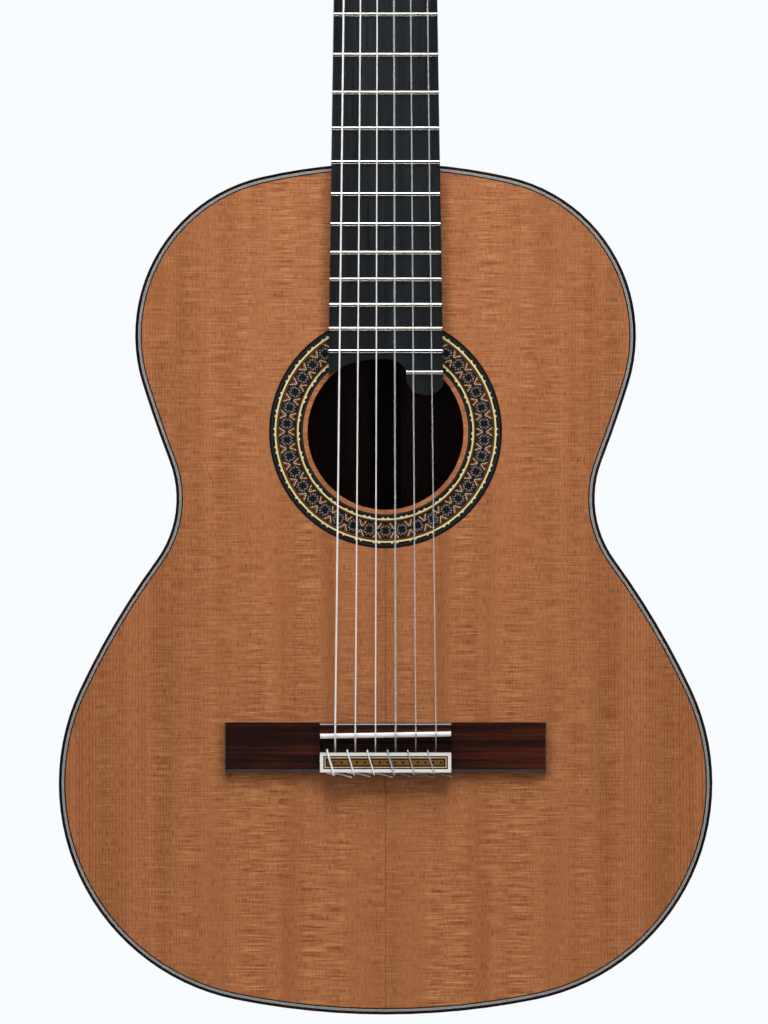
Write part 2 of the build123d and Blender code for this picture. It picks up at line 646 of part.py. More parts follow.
BRIDGE_TOP_Y = SADDLE_Y + BRIDGE_FRONT_GAP
BRIDGE_LOW_Y = BRIDGE_TOP_Y - BRIDGE_WIDTH
TIE_TOP_Y = BRIDGE_LOW_Y + TIE_BLOCK_WIDTH
SADDLE_PLACE = Pos(0, SADDLE_Y, 0) * Rot(0, 0, SADDLE_SLANT)


def in_head(x, u, w):
    """A point of the head's plane, in the bench frame."""
    return (HEAD * Pos(x, u, w)).position


def string(number):
    """One string: tail, both passes through the tie block, then over saddle and nut to its roller."""
    r = string_radius(number)
    x = saddle_x(number)
    loop_x = x - LOOP_PITCH
    hole_z = STRING_HOLE_Z
    over_z = TIE_BLOCK_HEIGHT + FRAME_THICKNESS + r + STRING_GAP
    front_y = TIE_TOP_Y + r + STRING_GAP + 0.5
    tail_y = BRIDGE_LOW_Y - r - STRING_GAP
    loop_y = tail_y - 2 * r - STRING_GAP
    roller_top = ROLLER_W + ROLLER_RADIUS + r + 0.35
    points = [
        (x + TAIL_LENGTH, tail_y - 2.2, hole_z - 1.6),
        (x + 1.4, tail_y, hole_z - 0.6),
        (loop_x, tail_y, hole_z),
        (loop_x, front_y, hole_z),
        (loop_x, front_y, over_z),
        (x - 1.0, loop_y, over_z),
        (x - 0.4, loop_y, hole_z),
        (x, loop_y + 2.5 * r + 1.0, hole_z),
        (x, front_y + 0.6, hole_z),
        (x, SADDLE_Y + x * tan(radians(SADDLE_SLANT)) - SADDLE_BREAK, SADDLE_STRING_Z + r + STRING_GAP),
        (nut_x(number), NUT_Y + 0.4, NUT_STRING_Z + r + STRING_GAP),
        tuple(in_head(wound_x(number), roller_u(number), roller_top)),
    ]
    tight = 1.25 * r
    bends = [tight * 2, tight, tight, tight, tight, tight, tight * 0.8, 2 * r, 2.0, 2.0]
    path = FilletPolyline(*points, radius=bends)
    return sweep(Plane(path @ 0, z_dir=path % 0) * Circle(r), path)


def nut():
    """The nut, with a slot for each string that falls away towards the head."""
    body = block(-NUT_WIDTH / 2, NUT_WIDTH / 2, NUT_Y, NUT_BACK_Y, 0, NUT_HEIGHT)
    body = fillet(body.edges().filter_by(Axis.X).group_by(Axis.Z)[-1], NUT_TOP_RADIUS)
    for number in range(1, 7):
        half = string_radius(number) + STRING_GAP
        seat = NUT_STRING_Z - NUT_SLOT_RELIEF
        low = NUT_Y - 1
        high = NUT_BACK_Y + 1
        turn = NUT_Y + 0.1
        end = seat - (high - turn) * NUT_SLOT_FALL
        points = [(low, seat), (turn, seat), (high, end), (high, DEEP), (low, DEEP)]
        x = nut_x(number)
        drift = (wound_x(number) - x) / roller_u(number) * (high - turn)
        right, left = x + half + max(drift, 0), x - half + min(drift, 0)
        sides = [(x - half, low), (x + half, low), (right, high), (left, high)]
        fan = extrude(make_face(Polyline(*sides, close=True)), DEEP)
        body -= side_prism(points, -NUT_WIDTH, NUT_WIDTH) & fan
    return body


def saddle():
    half = TIE_BLOCK_LENGTH / 2 - SADDLE_END_GAP
    body = block(-half, half, -SADDLE_THICKNESS / 2, SADDLE_THICKNESS / 2, SADDLE_SLOT_FLOOR, SADDLE_TOP)
    body = fillet(body.edges().filter_by(Axis.X).group_by(Axis.Z)[-1], SADDLE_THICKNESS * SADDLE_ROUNDING)
    return SADDLE_PLACE * body


def bridge():
    """Two thin wings, the raised bed of the saddle, a trough, and the drilled tie block."""
    half, middle = BRIDGE_LENGTH / 2, TIE_BLOCK_LENGTH / 2
    wings = block(-half, half, BRIDGE_LOW_Y, BRIDGE_TOP_Y, 0, WING_HEIGHT)
    top_edges = wings.edges().group_by(Axis.Z)[-1]
    wings = chamfer(top_edges.filter_by(Axis.X).group_by(Axis.Y)[0], WING_CHAMFER)
    wings = chamfer(wings.edges().group_by(Axis.Z)[-1].filter_by(Axis.Y), WING_END_CHAMFER)
    bed = block(-middle, middle, BRIDGE_TOP_Y - SADDLE_BED_WIDTH, BRIDGE_TOP_Y, 0, SADDLE_BED_HEIGHT)
    bed = fillet(bed.edges().filter_by(Axis.X).group_by(Axis.Z)[-1].group_by(Axis.Y)[-1], SADDLE_BED_RADIUS)
    tie = block(-middle, middle, BRIDGE_LOW_Y, TIE_TOP_Y, 0, TIE_BLOCK_HEIGHT)
    trough = block(-middle, middle, TIE_TOP_Y, BRIDGE_TOP_Y - SADDLE_BED_WIDTH, TROUGH_FLOOR, DEEP)
    slot_half, slot_side = middle - SADDLE_SLOT_END_GAP, SADDLE_THICKNESS / 2
    slot = block(-slot_half, slot_half, -slot_side, slot_side, SADDLE_SLOT_FLOOR, DEEP)
    body = wings + bed + tie - trough - SADDLE_PLACE * slot
    back, front = BRIDGE_LOW_Y - 1, TIE_TOP_Y + 1
    for number in range(1, 7):
        for x in (saddle_x(number), saddle_x(number) - LOOP_PITCH):
            body -= rod((x, back, STRING_HOLE_Z), (x, front, STRING_HOLE_Z), STRING_HOLE_RADIUS)
    return body


def frame_hole():
    half = TIE_BLOCK_LENGTH / 2 - FRAME_BORDER
    top = TIE_BLOCK_HEIGHT + FRAME_THICKNESS
    return block(-half, half, BRIDGE_LOW_Y + FRAME_BORDER, TIE_TOP_Y - FRAME_BORDER, TIE_BLOCK_HEIGHT, top)


def tie_block_frame():
    half = TIE_BLOCK_LENGTH / 2
    plate = block(-half, half, BRIDGE_LOW_Y, TIE_TOP_Y, TIE_BLOCK_HEIGHT, TIE_BLOCK_HEIGHT + FRAME_THICKNESS)
    return plate - frame_hole()


# ================================================================ the head, in its own plane (x, u, w)
def slot_range():
    return TUNER_FIRST - SLOT_END_GAP, TUNER_FIRST + 2 * TUNER_PITCH + SLOT_END_GAP


def head_outline():
    """The head from the front: shoulders, straight sides and a low arched crest."""
    side = HEAD_SIDE_X
    neck_half = NUT_WIDTH / 2
    top = HEAD_LENGTH - CREST_RISE
    bend = (neck_half + (side - neck_half) * SHOULDER_BEND[0], SHOULDER_LENGTH * SHOULDER_BEND[1])
    crest_x, crest_y = side * CREST_BEND[0], top + CREST_RISE * CREST_BEND[1]
    edges = [
        Line((-neck_half, 0), (neck_half, 0)),
        Spline((neck_half, 0), bend, (side, SHOULDER_LENGTH), tangents=((0.25, 1), (0.05, 1))),
        Line((side, SHOULDER_LENGTH), (side, top)),
        Spline((side, top), (crest_x, crest_y), (0, HEAD_LENGTH), tangents=((-0.35, 1), (-1, 0))),
        Spline((0, HEAD_LENGTH), (-crest_x, crest_y), (-side, top), tangents=((-1, 0), (-0.35, -1))),
        Line((-side, top), (-side, SHOULDER_LENGTH)),
        Spline(
            (-side, SHOULDER_LENGTH), (-bend[0], bend[1]), (-neck_half, 0), tangents=((-0.05, -1), (0.25, -1))
        ),
    ]
    return make_face(edges)


def head_slots(bottom, top):
    """The two long slots with round ends, each with a ramp at its lower end for the strings."""
    low, high = slot_range()
    mid_x = SLOT_INNER_X + SLOT_WIDTH / 2
    slot_face = Rot(0, 0, 90) * SlotOverall(high - low, SLOT_WIDTH)
    long_hole = extrude(Pos(mid_x, (low + high) / 2, bottom) * slot_face, top - bottom)
    ramp = side_prism(
        [(low - RAMP_LENGTH, top), (low - RAMP_LENGTH, VENEER_THICKNESS), (low + SLOT_WIDTH / 2, -RAMP_DEPTH),
         (low + SLOT_WIDTH / 2, top)],
        SLOT_INNER_X + 0.5,
        SLOT_INNER_X + SLOT_WIDTH - 0.5,
    )
    return both_sides(long_hole + ramp)


def roller_holes():
    """Sockets in the middle bar and holes through the two cheeks."""
    start = SLOT_INNER_X - ROLLER_SOCKET_DEPTH
    radius = ROLLER_RADIUS + RUNNING_CLEARANCE
    holes = []
    for step in range(3):
        u = TUNER_FIRST + TUNER_PITCH * step
        holes += both_sides(rod((start, u, ROLLER_W), (HEAD_SIDE_X + 1, u, ROLLER_W), radius))
    return holes


def plate_span():
    return (
        TUNER_FIRST - WORM_CENTRE_DISTANCE - PLATE_END_GAP,
        TUNER_FIRST + 2 * TUNER_PITCH + PLATE_END_GAP,
    )


def plate_screw_places():
    """Where each plate's screws go: beyond each end and between the machines."""
    low, high = plate_span()
    between = [roller_u(1) + TUNER_PITCH * (step + SCREW_STEP_SHARE) for step in range(2)]
    return [low + SCREW_LOW_GAP, *between, high - SCREW_HIGH_GAP]


def screw_holes():
    tip = HEAD_SIDE_X + PLATE_THICKNESS - SCREW_LENGTH - 0.2
    holes = []
    for u in plate_screw_places():
        holes += both_sides(
            rod((tip, u, ROLLER_W), (HEAD_SIDE_X + 1, u, ROLLER_W), SCREW_SHANK_RADIUS + PRESS_CLEARANCE)
        )
    return holes


def head_blank():
    """The head's wood in its own plane, scooped out behind where it runs into the neck."""
    body = extrude(Pos(0, 0, -HEAD_THICKNESS) * head_outline(), HEAD_THICKNESS)
    back = -HEAD_THICKNESS
    lifted = back + HEAD_THICKNESS - NECK_WOOD_AT_NUT + HEAD_SCOOP_LIFT
    before, below = -NUT_THICKNESS, back - NUT_THICKNESS
    hollow = make_face(
        [
            Line((before, below), (before, lifted)),
            Line((before, lifted), (0, lifted)),
            Spline((0, lifted), (HEAD_SCOOP_LENGTH, back), tangents=((1, -0.05), (1, -0.18))),
            Line((HEAD_SCOOP_LENGTH, back), (HEAD_SCOOP_LENGTH, below)),
            Line((HEAD_SCOOP_LENGTH, below), (before, below)),
        ]
    )
    return body - extrude(Plane.YZ.offset(-HEAD_WIDTH) * hollow, HEAD_WIDTH * 2, dir=(1, 0, 0))


def headstock():
    wood = head_blank()
    wood = wood - head_slots(-HEAD_THICKNESS - 1, VENEER_THICKNESS + 1)
    wood = wood - roller_holes() - screw_holes()
    return HEAD * wood - block(-DEEP, DEEP, 0, NUT_BACK_Y, -DEEP, DEEP)


def head_veneer():
    leaf = extrude(head_outline(), VENEER_THICKNESS)
    leaf = leaf - head_slots(-HEAD_THICKNESS - 1, VENEER_THICKNESS + 1)
    leaf = HEAD * leaf
    return leaf - block(-DEEP, DEEP, 0, NUT_BACK_Y, -DEEP, DEEP)


def tuner_plate():
    """The treble side's plate, with a pair of lugs for each worm shaft."""
    low, high = plate_span()
    mid_w = ROLLER_W
    half = PLATE_WIDTH / 2
    plate = block(HEAD_SIDE_X, PLATE_OUTER_X, low, high, mid_w - half, mid_w + half)
    plate = fillet(plate.edges().filter_by(Axis.X), PLATE_CORNER_RADIUS)
    lug_top = GEAR_MID_X + LUG_OVERHANG
    for step in range(3):
        u = TUNER_FIRST + TUNER_PITCH * step
        worm_u = u - WORM_CENTRE_DISTANCE
        for outer in (-1, 1):
            edge = mid_w + outer * half
            w0, w1 = sorted((edge, edge - outer * LUG_THICKNESS))
            lug = block(HEAD_SIDE_X, lug_top, worm_u - LUG_WIDTH / 2, worm_u + LUG_WIDTH / 2, w0, w1)
            lug = fillet(lug.edges().filter_by(Axis.Z).group_by(Axis.X)[-1], LUG_WIDTH * 0.45)
            plate += lug
        plate -= rod((HEAD_SIDE_X - 1, u, mid_w), (lug_top, u, mid_w), ROLLER_RADIUS + RUNNING_CLEARANCE)
        plate -= rod(
            (GEAR_MID_X, worm_u, mid_w - PLATE_WIDTH), (GEAR_MID_X, worm_u, mid_w + PLATE_WIDTH),
            WORM_SHAFT_RADIUS + RUNNING_CLEARANCE,
        )
    for u in plate_screw_places():
        plate -= rod((HEAD_SIDE_X - 1, u, mid_w), (lug_top, u, mid_w), SCREW_SHANK_RADIUS + PRESS_CLEARANCE)
    return plate


def plate_screws():
    tip, seat, top = PLATE_OUTER_X - SCREW_LENGTH, PLATE_OUTER_X, PLATE_OUTER_X + SCREW_HEAD_HEIGHT
    half = SCREW_SLOT_WIDTH / 2
    screws = []
    for u in plate_screw_places():
        shank = rod((tip, u, ROLLER_W), (seat, u, ROLLER_W), SCREW_SHANK_RADIUS)
        head = rod((seat, u, ROLLER_W), (top, u, ROLLER_W), SCREW_HEAD_RADIUS)
        head = fillet(head.edges().group_by(Axis.X)[-1], 0.6)
        low, high = u - SCREW_HEAD_RADIUS, u + SCREW_HEAD_RADIUS
        slot = block(top - SCREW_SLOT_DEPTH, DEEP, low, high, ROLLER_W - half, ROLLER_W + half)
        screws += both_sides(shank + head - slot)
    return Compound(screws)


# ================================================================ one machine, treble side, roller at u = 0
def roller(winding_x):
    """The string roller with its spindle, a tapped end and the hole for the string."""
    inner = SLOT_INNER_X - ROLLER_SOCKET_DEPTH + ROLLER_END_GAP
    barrel = rod((inner, 0, ROLLER_W), (PLATE_OUTER_X, 0, ROLLER_W), ROLLER_RADIUS)
    barrel = chamfer(barrel.edges().group_by(Axis.X)[0], ROLLER_END_CHAMFER)
    end = GEAR_INNER_X + GEAR_FACE
    spindle = rod((PLATE_OUTER_X, 0, ROLLER_W), (end, 0, ROLLER_W), SPINDLE_RADIUS)
    bottom = end - GEAR_SCREW_LENGTH - 1
    tapped = rod((bottom, 0, ROLLER_W), (end, 0, ROLLER_W), SPINDLE_SCREW_RADIUS + PRESS_CLEARANCE)
    string_hole = rod((winding_x, 0, -DEEP), (winding_x, 0, DEEP), ROLLER_HOLE_RADIUS)
    return barrel + spindle - tapped - string_hole


def gear_profile():
    """The gear's outline: straight-flanked teeth, one gap facing the worm."""
    tip, root = GEAR_PITCH_RADIUS + TOOTH_ADDENDUM, GEAR_PITCH_RADIUS - TOOTH_DEDENDUM
    half_tip = GEAR_TOOTH_AT_PITCH / 2 - TOOTH_ADDENDUM * FLANK_SLOPE
    half_root = GEAR_TOOTH_AT_PITCH / 2 + TOOTH_DEDENDUM * FLANK_SLOPE
    points = []
    for k in range(GEAR_TEETH):
        turn = 2 * pi * (k + 0.5) / GEAR_TEETH - pi / 2
        along, aside = complex(cos(turn), sin(turn)), complex(-sin(turn), cos(turn))
        for reach, half in ((root, -half_root), (tip, -half_tip), (tip, half_tip), (root, half_root)):
            points.append(along * sqrt(reach**2 - half**2) + aside * half)
    return make_face(Polyline(*[xy(p) for p in points], close=True))


def gear():
    """The brass wheel with its hub, and the screw that holds it on the spindle."""
    plane = Plane((GEAR_INNER_X, 0, ROLLER_W), x_dir=(0, 1, 0), z_dir=(1, 0, 0))
    wheel = extrude(plane * gear_profile(), GEAR_FACE)
    hub = rod((PLATE_OUTER_X + RUNNING_CLEARANCE, 0, ROLLER_W), (GEAR_INNER_X, 0, ROLLER_W), HUB_RADIUS)
    outer = GEAR_INNER_X + GEAR_FACE
    bore = rod((PLATE_OUTER_X, 0, ROLLER_W), (outer, 0, ROLLER_W), SPINDLE_RADIUS + PRESS_CLEARANCE)
    shank = rod((outer - GEAR_SCREW_LENGTH, 0, ROLLER_W), (outer, 0, ROLLER_W), SPINDLE_SCREW_RADIUS)
    top = outer + GEAR_SCREW_HEAD_HEIGHT
    head = rod((outer, 0, ROLLER_W), (top, 0, ROLLER_W), GEAR_SCREW_HEAD_RADIUS)
    head = fillet(head.edges().group_by(Axis.X)[-1], GEAR_SCREW_HEAD_HEIGHT / 2)
    half = SCREW_SLOT_WIDTH / 2
    slot = block(top - SCREW_SLOT_DEPTH, DEEP, -half, half, -DEEP, DEEP)
    return Compound([wheel + hub - bore, shank + head - slot])


def worm():
    """The worm shaft: a helical thread between the lugs, with the plain shaft running back to the button."""
    root = WORM_PITCH_RADIUS - TOOTH_DEDENDUM
    start = ROLLER_W - WORM_LENGTH / 2
    half_root = THREAD_AT_PITCH / 2 + TOOTH_DEDENDUM * FLANK_SLOPE
    half_tip = THREAD_AT_PITCH / 2 - TOOTH_ADDENDUM * FLANK_SLOPE
    tip = WORM_PITCH_RADIUS + TOOTH_ADDENDUM
    sunk = THREAD_SUNK
    helix = Helix(WORM_LEAD, WORM_LENGTH, root - sunk)
    across = Plane((root - sunk, 0, 0), x_dir=(1, 0, 0), z_dir=(0, 1, 0))
    height = tip - root + sunk
    flanks = [(sunk, -half_root), (height, -half_tip), (height, half_tip), (sunk, half_root)]
    tooth = make_face(Polyline((0, -half_root), *flanks, (0, half_root), close=True))
    thread = sweep(across * tooth, helix, is_frenet=True)
    core = Pos(0, 0, WORM_LENGTH / 2) * Cylinder(root, WORM_LENGTH + 2 * half_root)
    # The thread's middle turn lies across the gap that faces it, on the gear's side of the shaft.
    middle_turns = WORM_LENGTH / 2 / WORM_LEAD
    phase = 90 - 360 * (middle_turns % 1)
    screw = Pos(0, 0, start) * Rot(0, 0, phase) * (core + thread)
    rear = -HEAD_THICKNESS - BUTTON_GAP - BUTTON_GRIP + SHAFT_END_GAP
    front = ROLLER_W + PLATE_WIDTH / 2 + SHAFT_END_GAP
    shaft = rod((0, 0, rear), (0, 0, front), WORM_SHAFT_RADIUS)
    cap = rod((0, 0, front), (0, 0, front + CAP_HEIGHT), CAP_RADIUS)
    cap = fillet(cap.edges().group_by(Axis.Z)[-1], CAP_ROUNDING)
    return Pos(GEAR_MID_X, -WORM_CENTRE_DISTANCE, 0) * (screw + shaft + cap)


def button():
    """The oval button that is turned by hand, with its collar in one moulding."""
    top = -HEAD_THICKNESS - BUTTON_GAP
    outline = Pos(0, 0, top - BUTTON_LENGTH) * Ellipse(BUTTON_THICKNESS / 2, BUTTON_WIDTH / 2)
    oval = fillet(extrude(outline, BUTTON_LENGTH - COLLAR_LENGTH + 1).edges(), BUTTON_ROUNDING)
    collar = Pos(0, 0, top - COLLAR_LENGTH / 2) * Cylinder(COLLAR_RADIUS, COLLAR_LENGTH)
    bore = rod((0, 0, top - BUTTON_GRIP), (0, 0, top + 1), WORM_SHAFT_RADIUS + PRESS_CLEARANCE)
    return Pos(GEAR_MID_X, -WORM_CENTRE_DISTANCE, 0) * (oval + collar - bore)


def machine_place(number, shape):
    """A piece of a tuning machine on its string's roller, mirrored for the bass side, in the bench frame."""
    placed = Pos(0, roller_u(number), 0) * shape
    return HEAD * (placed if tuner_side(number) > 0 else mirror(placed, Plane.YZ))


# ================================================================ the assembly
def root_pieces():
    shell = back_shell()
    return {
        "soundboard": soundboard(),
        "rosette": rosette(),
        "soundhole_patch": soundhole_patch(),
        "fan_braces": fan_braces(),
        "harmonic_bars": harmonic_bars(),
        "back_panels": shell - back_strip_box(),
        "back_strip": shell & back_strip_box(),
        "back_braces": back_braces(),
        "back_cleats": back_cleats(),
        "ribs": ribs(),
        "linings": linings(),
        "tail_block": tail_block(),
        "end_graft": end_graft(),
        "top_binding": top_binding(),
        "top_purfling": top_purfling(),
        "back_binding": back_binding(),
        "neck": neck(),
        "heel_cap": heel_cap(),
        "headstock": headstock(),
        "head_veneer": head_veneer(),
        "fingerboard": fingerboard(),
        "frets": frets(),
        "nut": nut(),
        "bridge": bridge(),
        "saddle": saddle(),
        "tie_block_frame": tie_block_frame(),
        "tie_block_mosaic": frame_hole(),
        "treble_tuner_plate": HEAD * tuner_plate(),
        "bass_tuner_plate": HEAD * mirror(tuner_plate(), Plane.YZ),
        "tuner_plate_screws": HEAD * plate_screws(),
        **{f"string_{number}": string(number) for number in range(1, 7)},
    }


def machine_pieces():
    wheel, shaft, knob = gear(), worm(), button()
    pieces = {}
    for number in range(1, 7):
        pieces[f"roller_{number}"] = machine_place(number, roller(WINDING_X[tuner_step(number)]))
        pieces[f"gear_{number}"] = machine_place(number, wheel)
        pieces[f"worm_{number}"] = machine_place(number, shaft)
        pieces[f"button_{number}"] = machine_place(number, knob)
    return pieces


for name, piece in {**root_pieces(), **machine_pieces()}.items():
    solids = piece.solids()
    upright = UPRIGHT * Compound(solids)
    export_step(upright, f"parts/{name}.step")
    print(name, len(solids), "solids", round(sum(s.volume for s in solids), 1), "mm3")
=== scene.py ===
"""The looks of a classical guitar: its woods, inlays, strings and tuning machines, in soft studio light."""

from math import atan, cos, pi, radians, sin, tan

import bpy
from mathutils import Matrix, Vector


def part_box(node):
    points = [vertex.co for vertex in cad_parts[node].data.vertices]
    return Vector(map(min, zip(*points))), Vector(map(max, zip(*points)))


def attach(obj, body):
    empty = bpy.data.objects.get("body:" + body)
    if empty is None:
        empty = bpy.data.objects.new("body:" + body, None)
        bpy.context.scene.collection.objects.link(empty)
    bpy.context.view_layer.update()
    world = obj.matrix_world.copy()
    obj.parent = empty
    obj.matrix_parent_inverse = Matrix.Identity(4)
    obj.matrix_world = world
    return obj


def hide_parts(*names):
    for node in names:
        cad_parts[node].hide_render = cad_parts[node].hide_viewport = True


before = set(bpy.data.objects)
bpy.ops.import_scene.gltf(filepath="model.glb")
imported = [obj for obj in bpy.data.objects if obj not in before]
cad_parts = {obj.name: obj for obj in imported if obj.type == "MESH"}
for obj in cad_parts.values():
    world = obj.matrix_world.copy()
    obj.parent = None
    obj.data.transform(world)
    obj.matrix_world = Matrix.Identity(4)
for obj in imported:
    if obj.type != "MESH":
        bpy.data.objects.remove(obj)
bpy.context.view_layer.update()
MM = 0.001

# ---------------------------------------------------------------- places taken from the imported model
face_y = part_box("soundboard")[0].y  # the soundboard's outer face; smaller y is further out of the body
rosette_low, rosette_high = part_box("rosette")
hole_z = (rosette_low.z + rosette_high.z) / 2
saddle_low, saddle_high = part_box("saddle")
saddle_z = (saddle_low.z + saddle_high.z) / 2
tie_low, tie_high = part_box("tie_block_frame")
nut_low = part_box("nut")[0]

# ---------------------------------------------------------------- sizes of the new pieces, in millimetres
STRING_DIAMETERS = (0.72, 0.82, 1.02, 0.76, 0.90, 1.10)
NUT_SPREAD, SADDLE_SPREAD = 42.5, 57.5
NUT_STRING_HEIGHT, SADDLE_STRING_HEIGHT = 7.5, 12.6
SADDLE_SLANT = 1.0  # degrees, the bass end further from the nut
LOOP_PITCH = 4.6  # from a string to its loop over the tie block
STRING_HOLE_HEIGHT = 4.3
HEAD_ANGLE = radians(12.0)
HEAD_UP = Vector((0, sin(HEAD_ANGLE), cos(HEAD_ANGLE)))
HEAD_OUT = Vector((0, -cos(HEAD_ANGLE), sin(HEAD_ANGLE)))
ROLLER_RADIUS = 4.9
ROLLER_STRING_PLACES = (18.5, 16.0, 17.0)  # from the centreline to where a string meets its roller
WINDING_TURNS, WINDING_STEPS = 3.5, 14
WINDING_GAP, WINDING_SEAT, CROWN_SEAT = 0.1, 0.05, 0.15
WINDING_TAIL, WINDING_TAIL_LEAN = 4.0, 1.5
ROSETTE_RINGS = (47.4, 48.0, 48.3, 48.7, 49.2, 49.8, 50.7, 51.0, 51.3, 51.8)  # from the soundhole outwards
ROSETTE_OUTER_RINGS = (61.6, 61.9, 62.3, 62.6, 63.6, 64.2, 64.9, 65.2, 65.7, 66.8)
ROSETTE_DEPTH = 1.2
MOTIFS, MOTIF_TILES = 38, 20
INNER_DOT_PAIRS = 29
INLAY_BORDERS = (0.8, 0.45, 1.0)  # black, cream and black, from the bone frame inwards
DOT_PITCH, DOT_MARGIN = 2.18, 6.0
DOT_RADII = (0.62, 0.72)  # amber, black
DOT_HEIGHT, DOT_SINK = 0.3, 0.12
BODY_MIDDLES = 0.13, 0.39  # metres up, between which the body's edge is seen from the side
WELD_DISTANCE = 0.00001
CAMERA_DISTANCE = 2800.0
VIEW_HEIGHT = 586.8
VIEW_CENTRE_X, VIEW_CENTRE_Z = -0.9, 288.0

# ---------------------------------------------------------------- the setting, in metres and watts
FLOOR_SIZE, FLOOR_Y, FLOOR_Z = 2.1, 0.75, -0.20
BACKDROP = (0.939, 0.973, 1.0, 1)
DARK_SIDE, DARK_END = (0.035, 0.037, 0.040, 1), 0.28
LIGHT_SIDE, LIGHT_START = (0.62, 0.64, 0.66, 1), 0.56
FAR_CLIP = 50
SOFTBOXES = (  # name, place, width, height, power
    ("left_box", (-1.9, -1.9, 1.0), 0.9, 2.2, 15),
    ("right_box", (1.9, -1.9, 1.0), 0.9, 2.2, 14.5),
    ("top_box", (0, -0.95, 2.0), 1.8, 0.9, 60),
)
SOFTBOX_TARGET = (0, 0, 0.4)


def at(x, up, out):
    """A point from millimetres: across to the treble side, up from the tail, and out of the soundboard."""
    return Vector((x * MM, face_y - out * MM, up * MM))


# ================================================================ small tools
def clear_selection():
    bpy.ops.object.select_all(action="DESELECT")


def take(piece):
    """Makes a piece the only selected and active object."""
    clear_selection()
    piece.select_set(True)
    bpy.context.view_layer.objects.active = piece


def named(name):
    piece = bpy.context.object
    piece.name = piece.data.name = name
    return piece


def edit(piece, mode="VERT"):
    take(piece)
    bpy.ops.object.mode_set(mode="EDIT")
    bpy.ops.mesh.select_mode(type=mode)
    bpy.ops.mesh.select_all(action="DESELECT")


def leave_edit():
    bpy.ops.object.mode_set(mode="OBJECT")


def settle(piece):
    """Puts the piece's place, turn and size into its mesh."""
    take(piece)
    bpy.ops.object.transform_apply(location=True, rotation=True, scale=True)


def add_modifier(piece, kind, **settings):
    modifier = piece.modifiers.new(kind.title(), kind)
    for key, value in settings.items():
        setattr(modifier, key, value)
    return modifier


def apply_modifiers(piece):
    take(piece)
    for modifier in list(piece.modifiers):
        bpy.ops.object.modifier_apply(modifier=modifier.name)


def smooth(piece, angle=35):
    take(piece)
    bpy.ops.object.shade_smooth_by_angle(angle=radians(angle))


def finish_piece(piece, body, slot_name, *materials, replaces=()):
    """Gives a piece its materials and its body, and hides the nodes that it stands for; the slot name is not
    used.
    """
    for material in materials:
        piece.data.materials.append(material)
    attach(piece, body)
    if replaces:
        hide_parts(*replaces)
    return piece


def tube(name, points, diameter, sides=10, steps=6, order=3):
    """A round tube along the smooth line that these control points shape."""
    curve = bpy.data.curves.new(name, "CURVE")
    curve.dimensions = "3D"
    spline = curve.splines.new("NURBS")
    spline.points.add(len(points) - 1)
    for target, point in zip(spline.points, points):
        target.co = (*point, 1)
    spline.order_u = order
    spline.use_endpoint_u = True
    curve.resolution_u = steps
    curve.bevel_depth = diameter / 2
    curve.bevel_resolution = max(0, sides // 4 - 1)
    curve.use_fill_caps = True
    piece = bpy.data.objects.new(name, curve)
    bpy.context.scene.collection.objects.link(piece)
    take(piece)
    bpy.ops.object.convert(target="MESH")
    piece = named(name)
    weld(piece, 0.000001)
    edit(piece)
    bpy.ops.mesh.select_all(action="SELECT")
    bpy.ops.mesh.normals_make_consistent(inside=False)
    leave_edit()
    smooth(piece)
    return piece


def weld(piece, distance=WELD_DISTANCE):
    """Merges the points of a piece that lie on top of one another."""
    edit(piece)
    bpy.ops.mesh.select_all(action="SELECT")
    bpy.ops.mesh.remove_doubles(threshold=distance)
    leave_edit()


def flip_towards(piece, direction):
    """Turns a flat sheet's faces round if they look the wrong way."""
    if piece.data.polygons[0].normal.dot(direction) < 0:
        edit(piece)
        bpy.ops.mesh.select_all(action="SELECT")
        bpy.ops.mesh.flip_normals()
        leave_edit()


# ================================================================ materials
def paint(red, green, blue):
    """An 8-bit display colour as linear light."""
    shares = (channel / 255 for channel in (red, green, blue))
    return tuple((c / 12.92 if c <= 10 / 255 else ((c + 0.055) / 1.055) ** 2.4) for c in shares) + (1.0,)


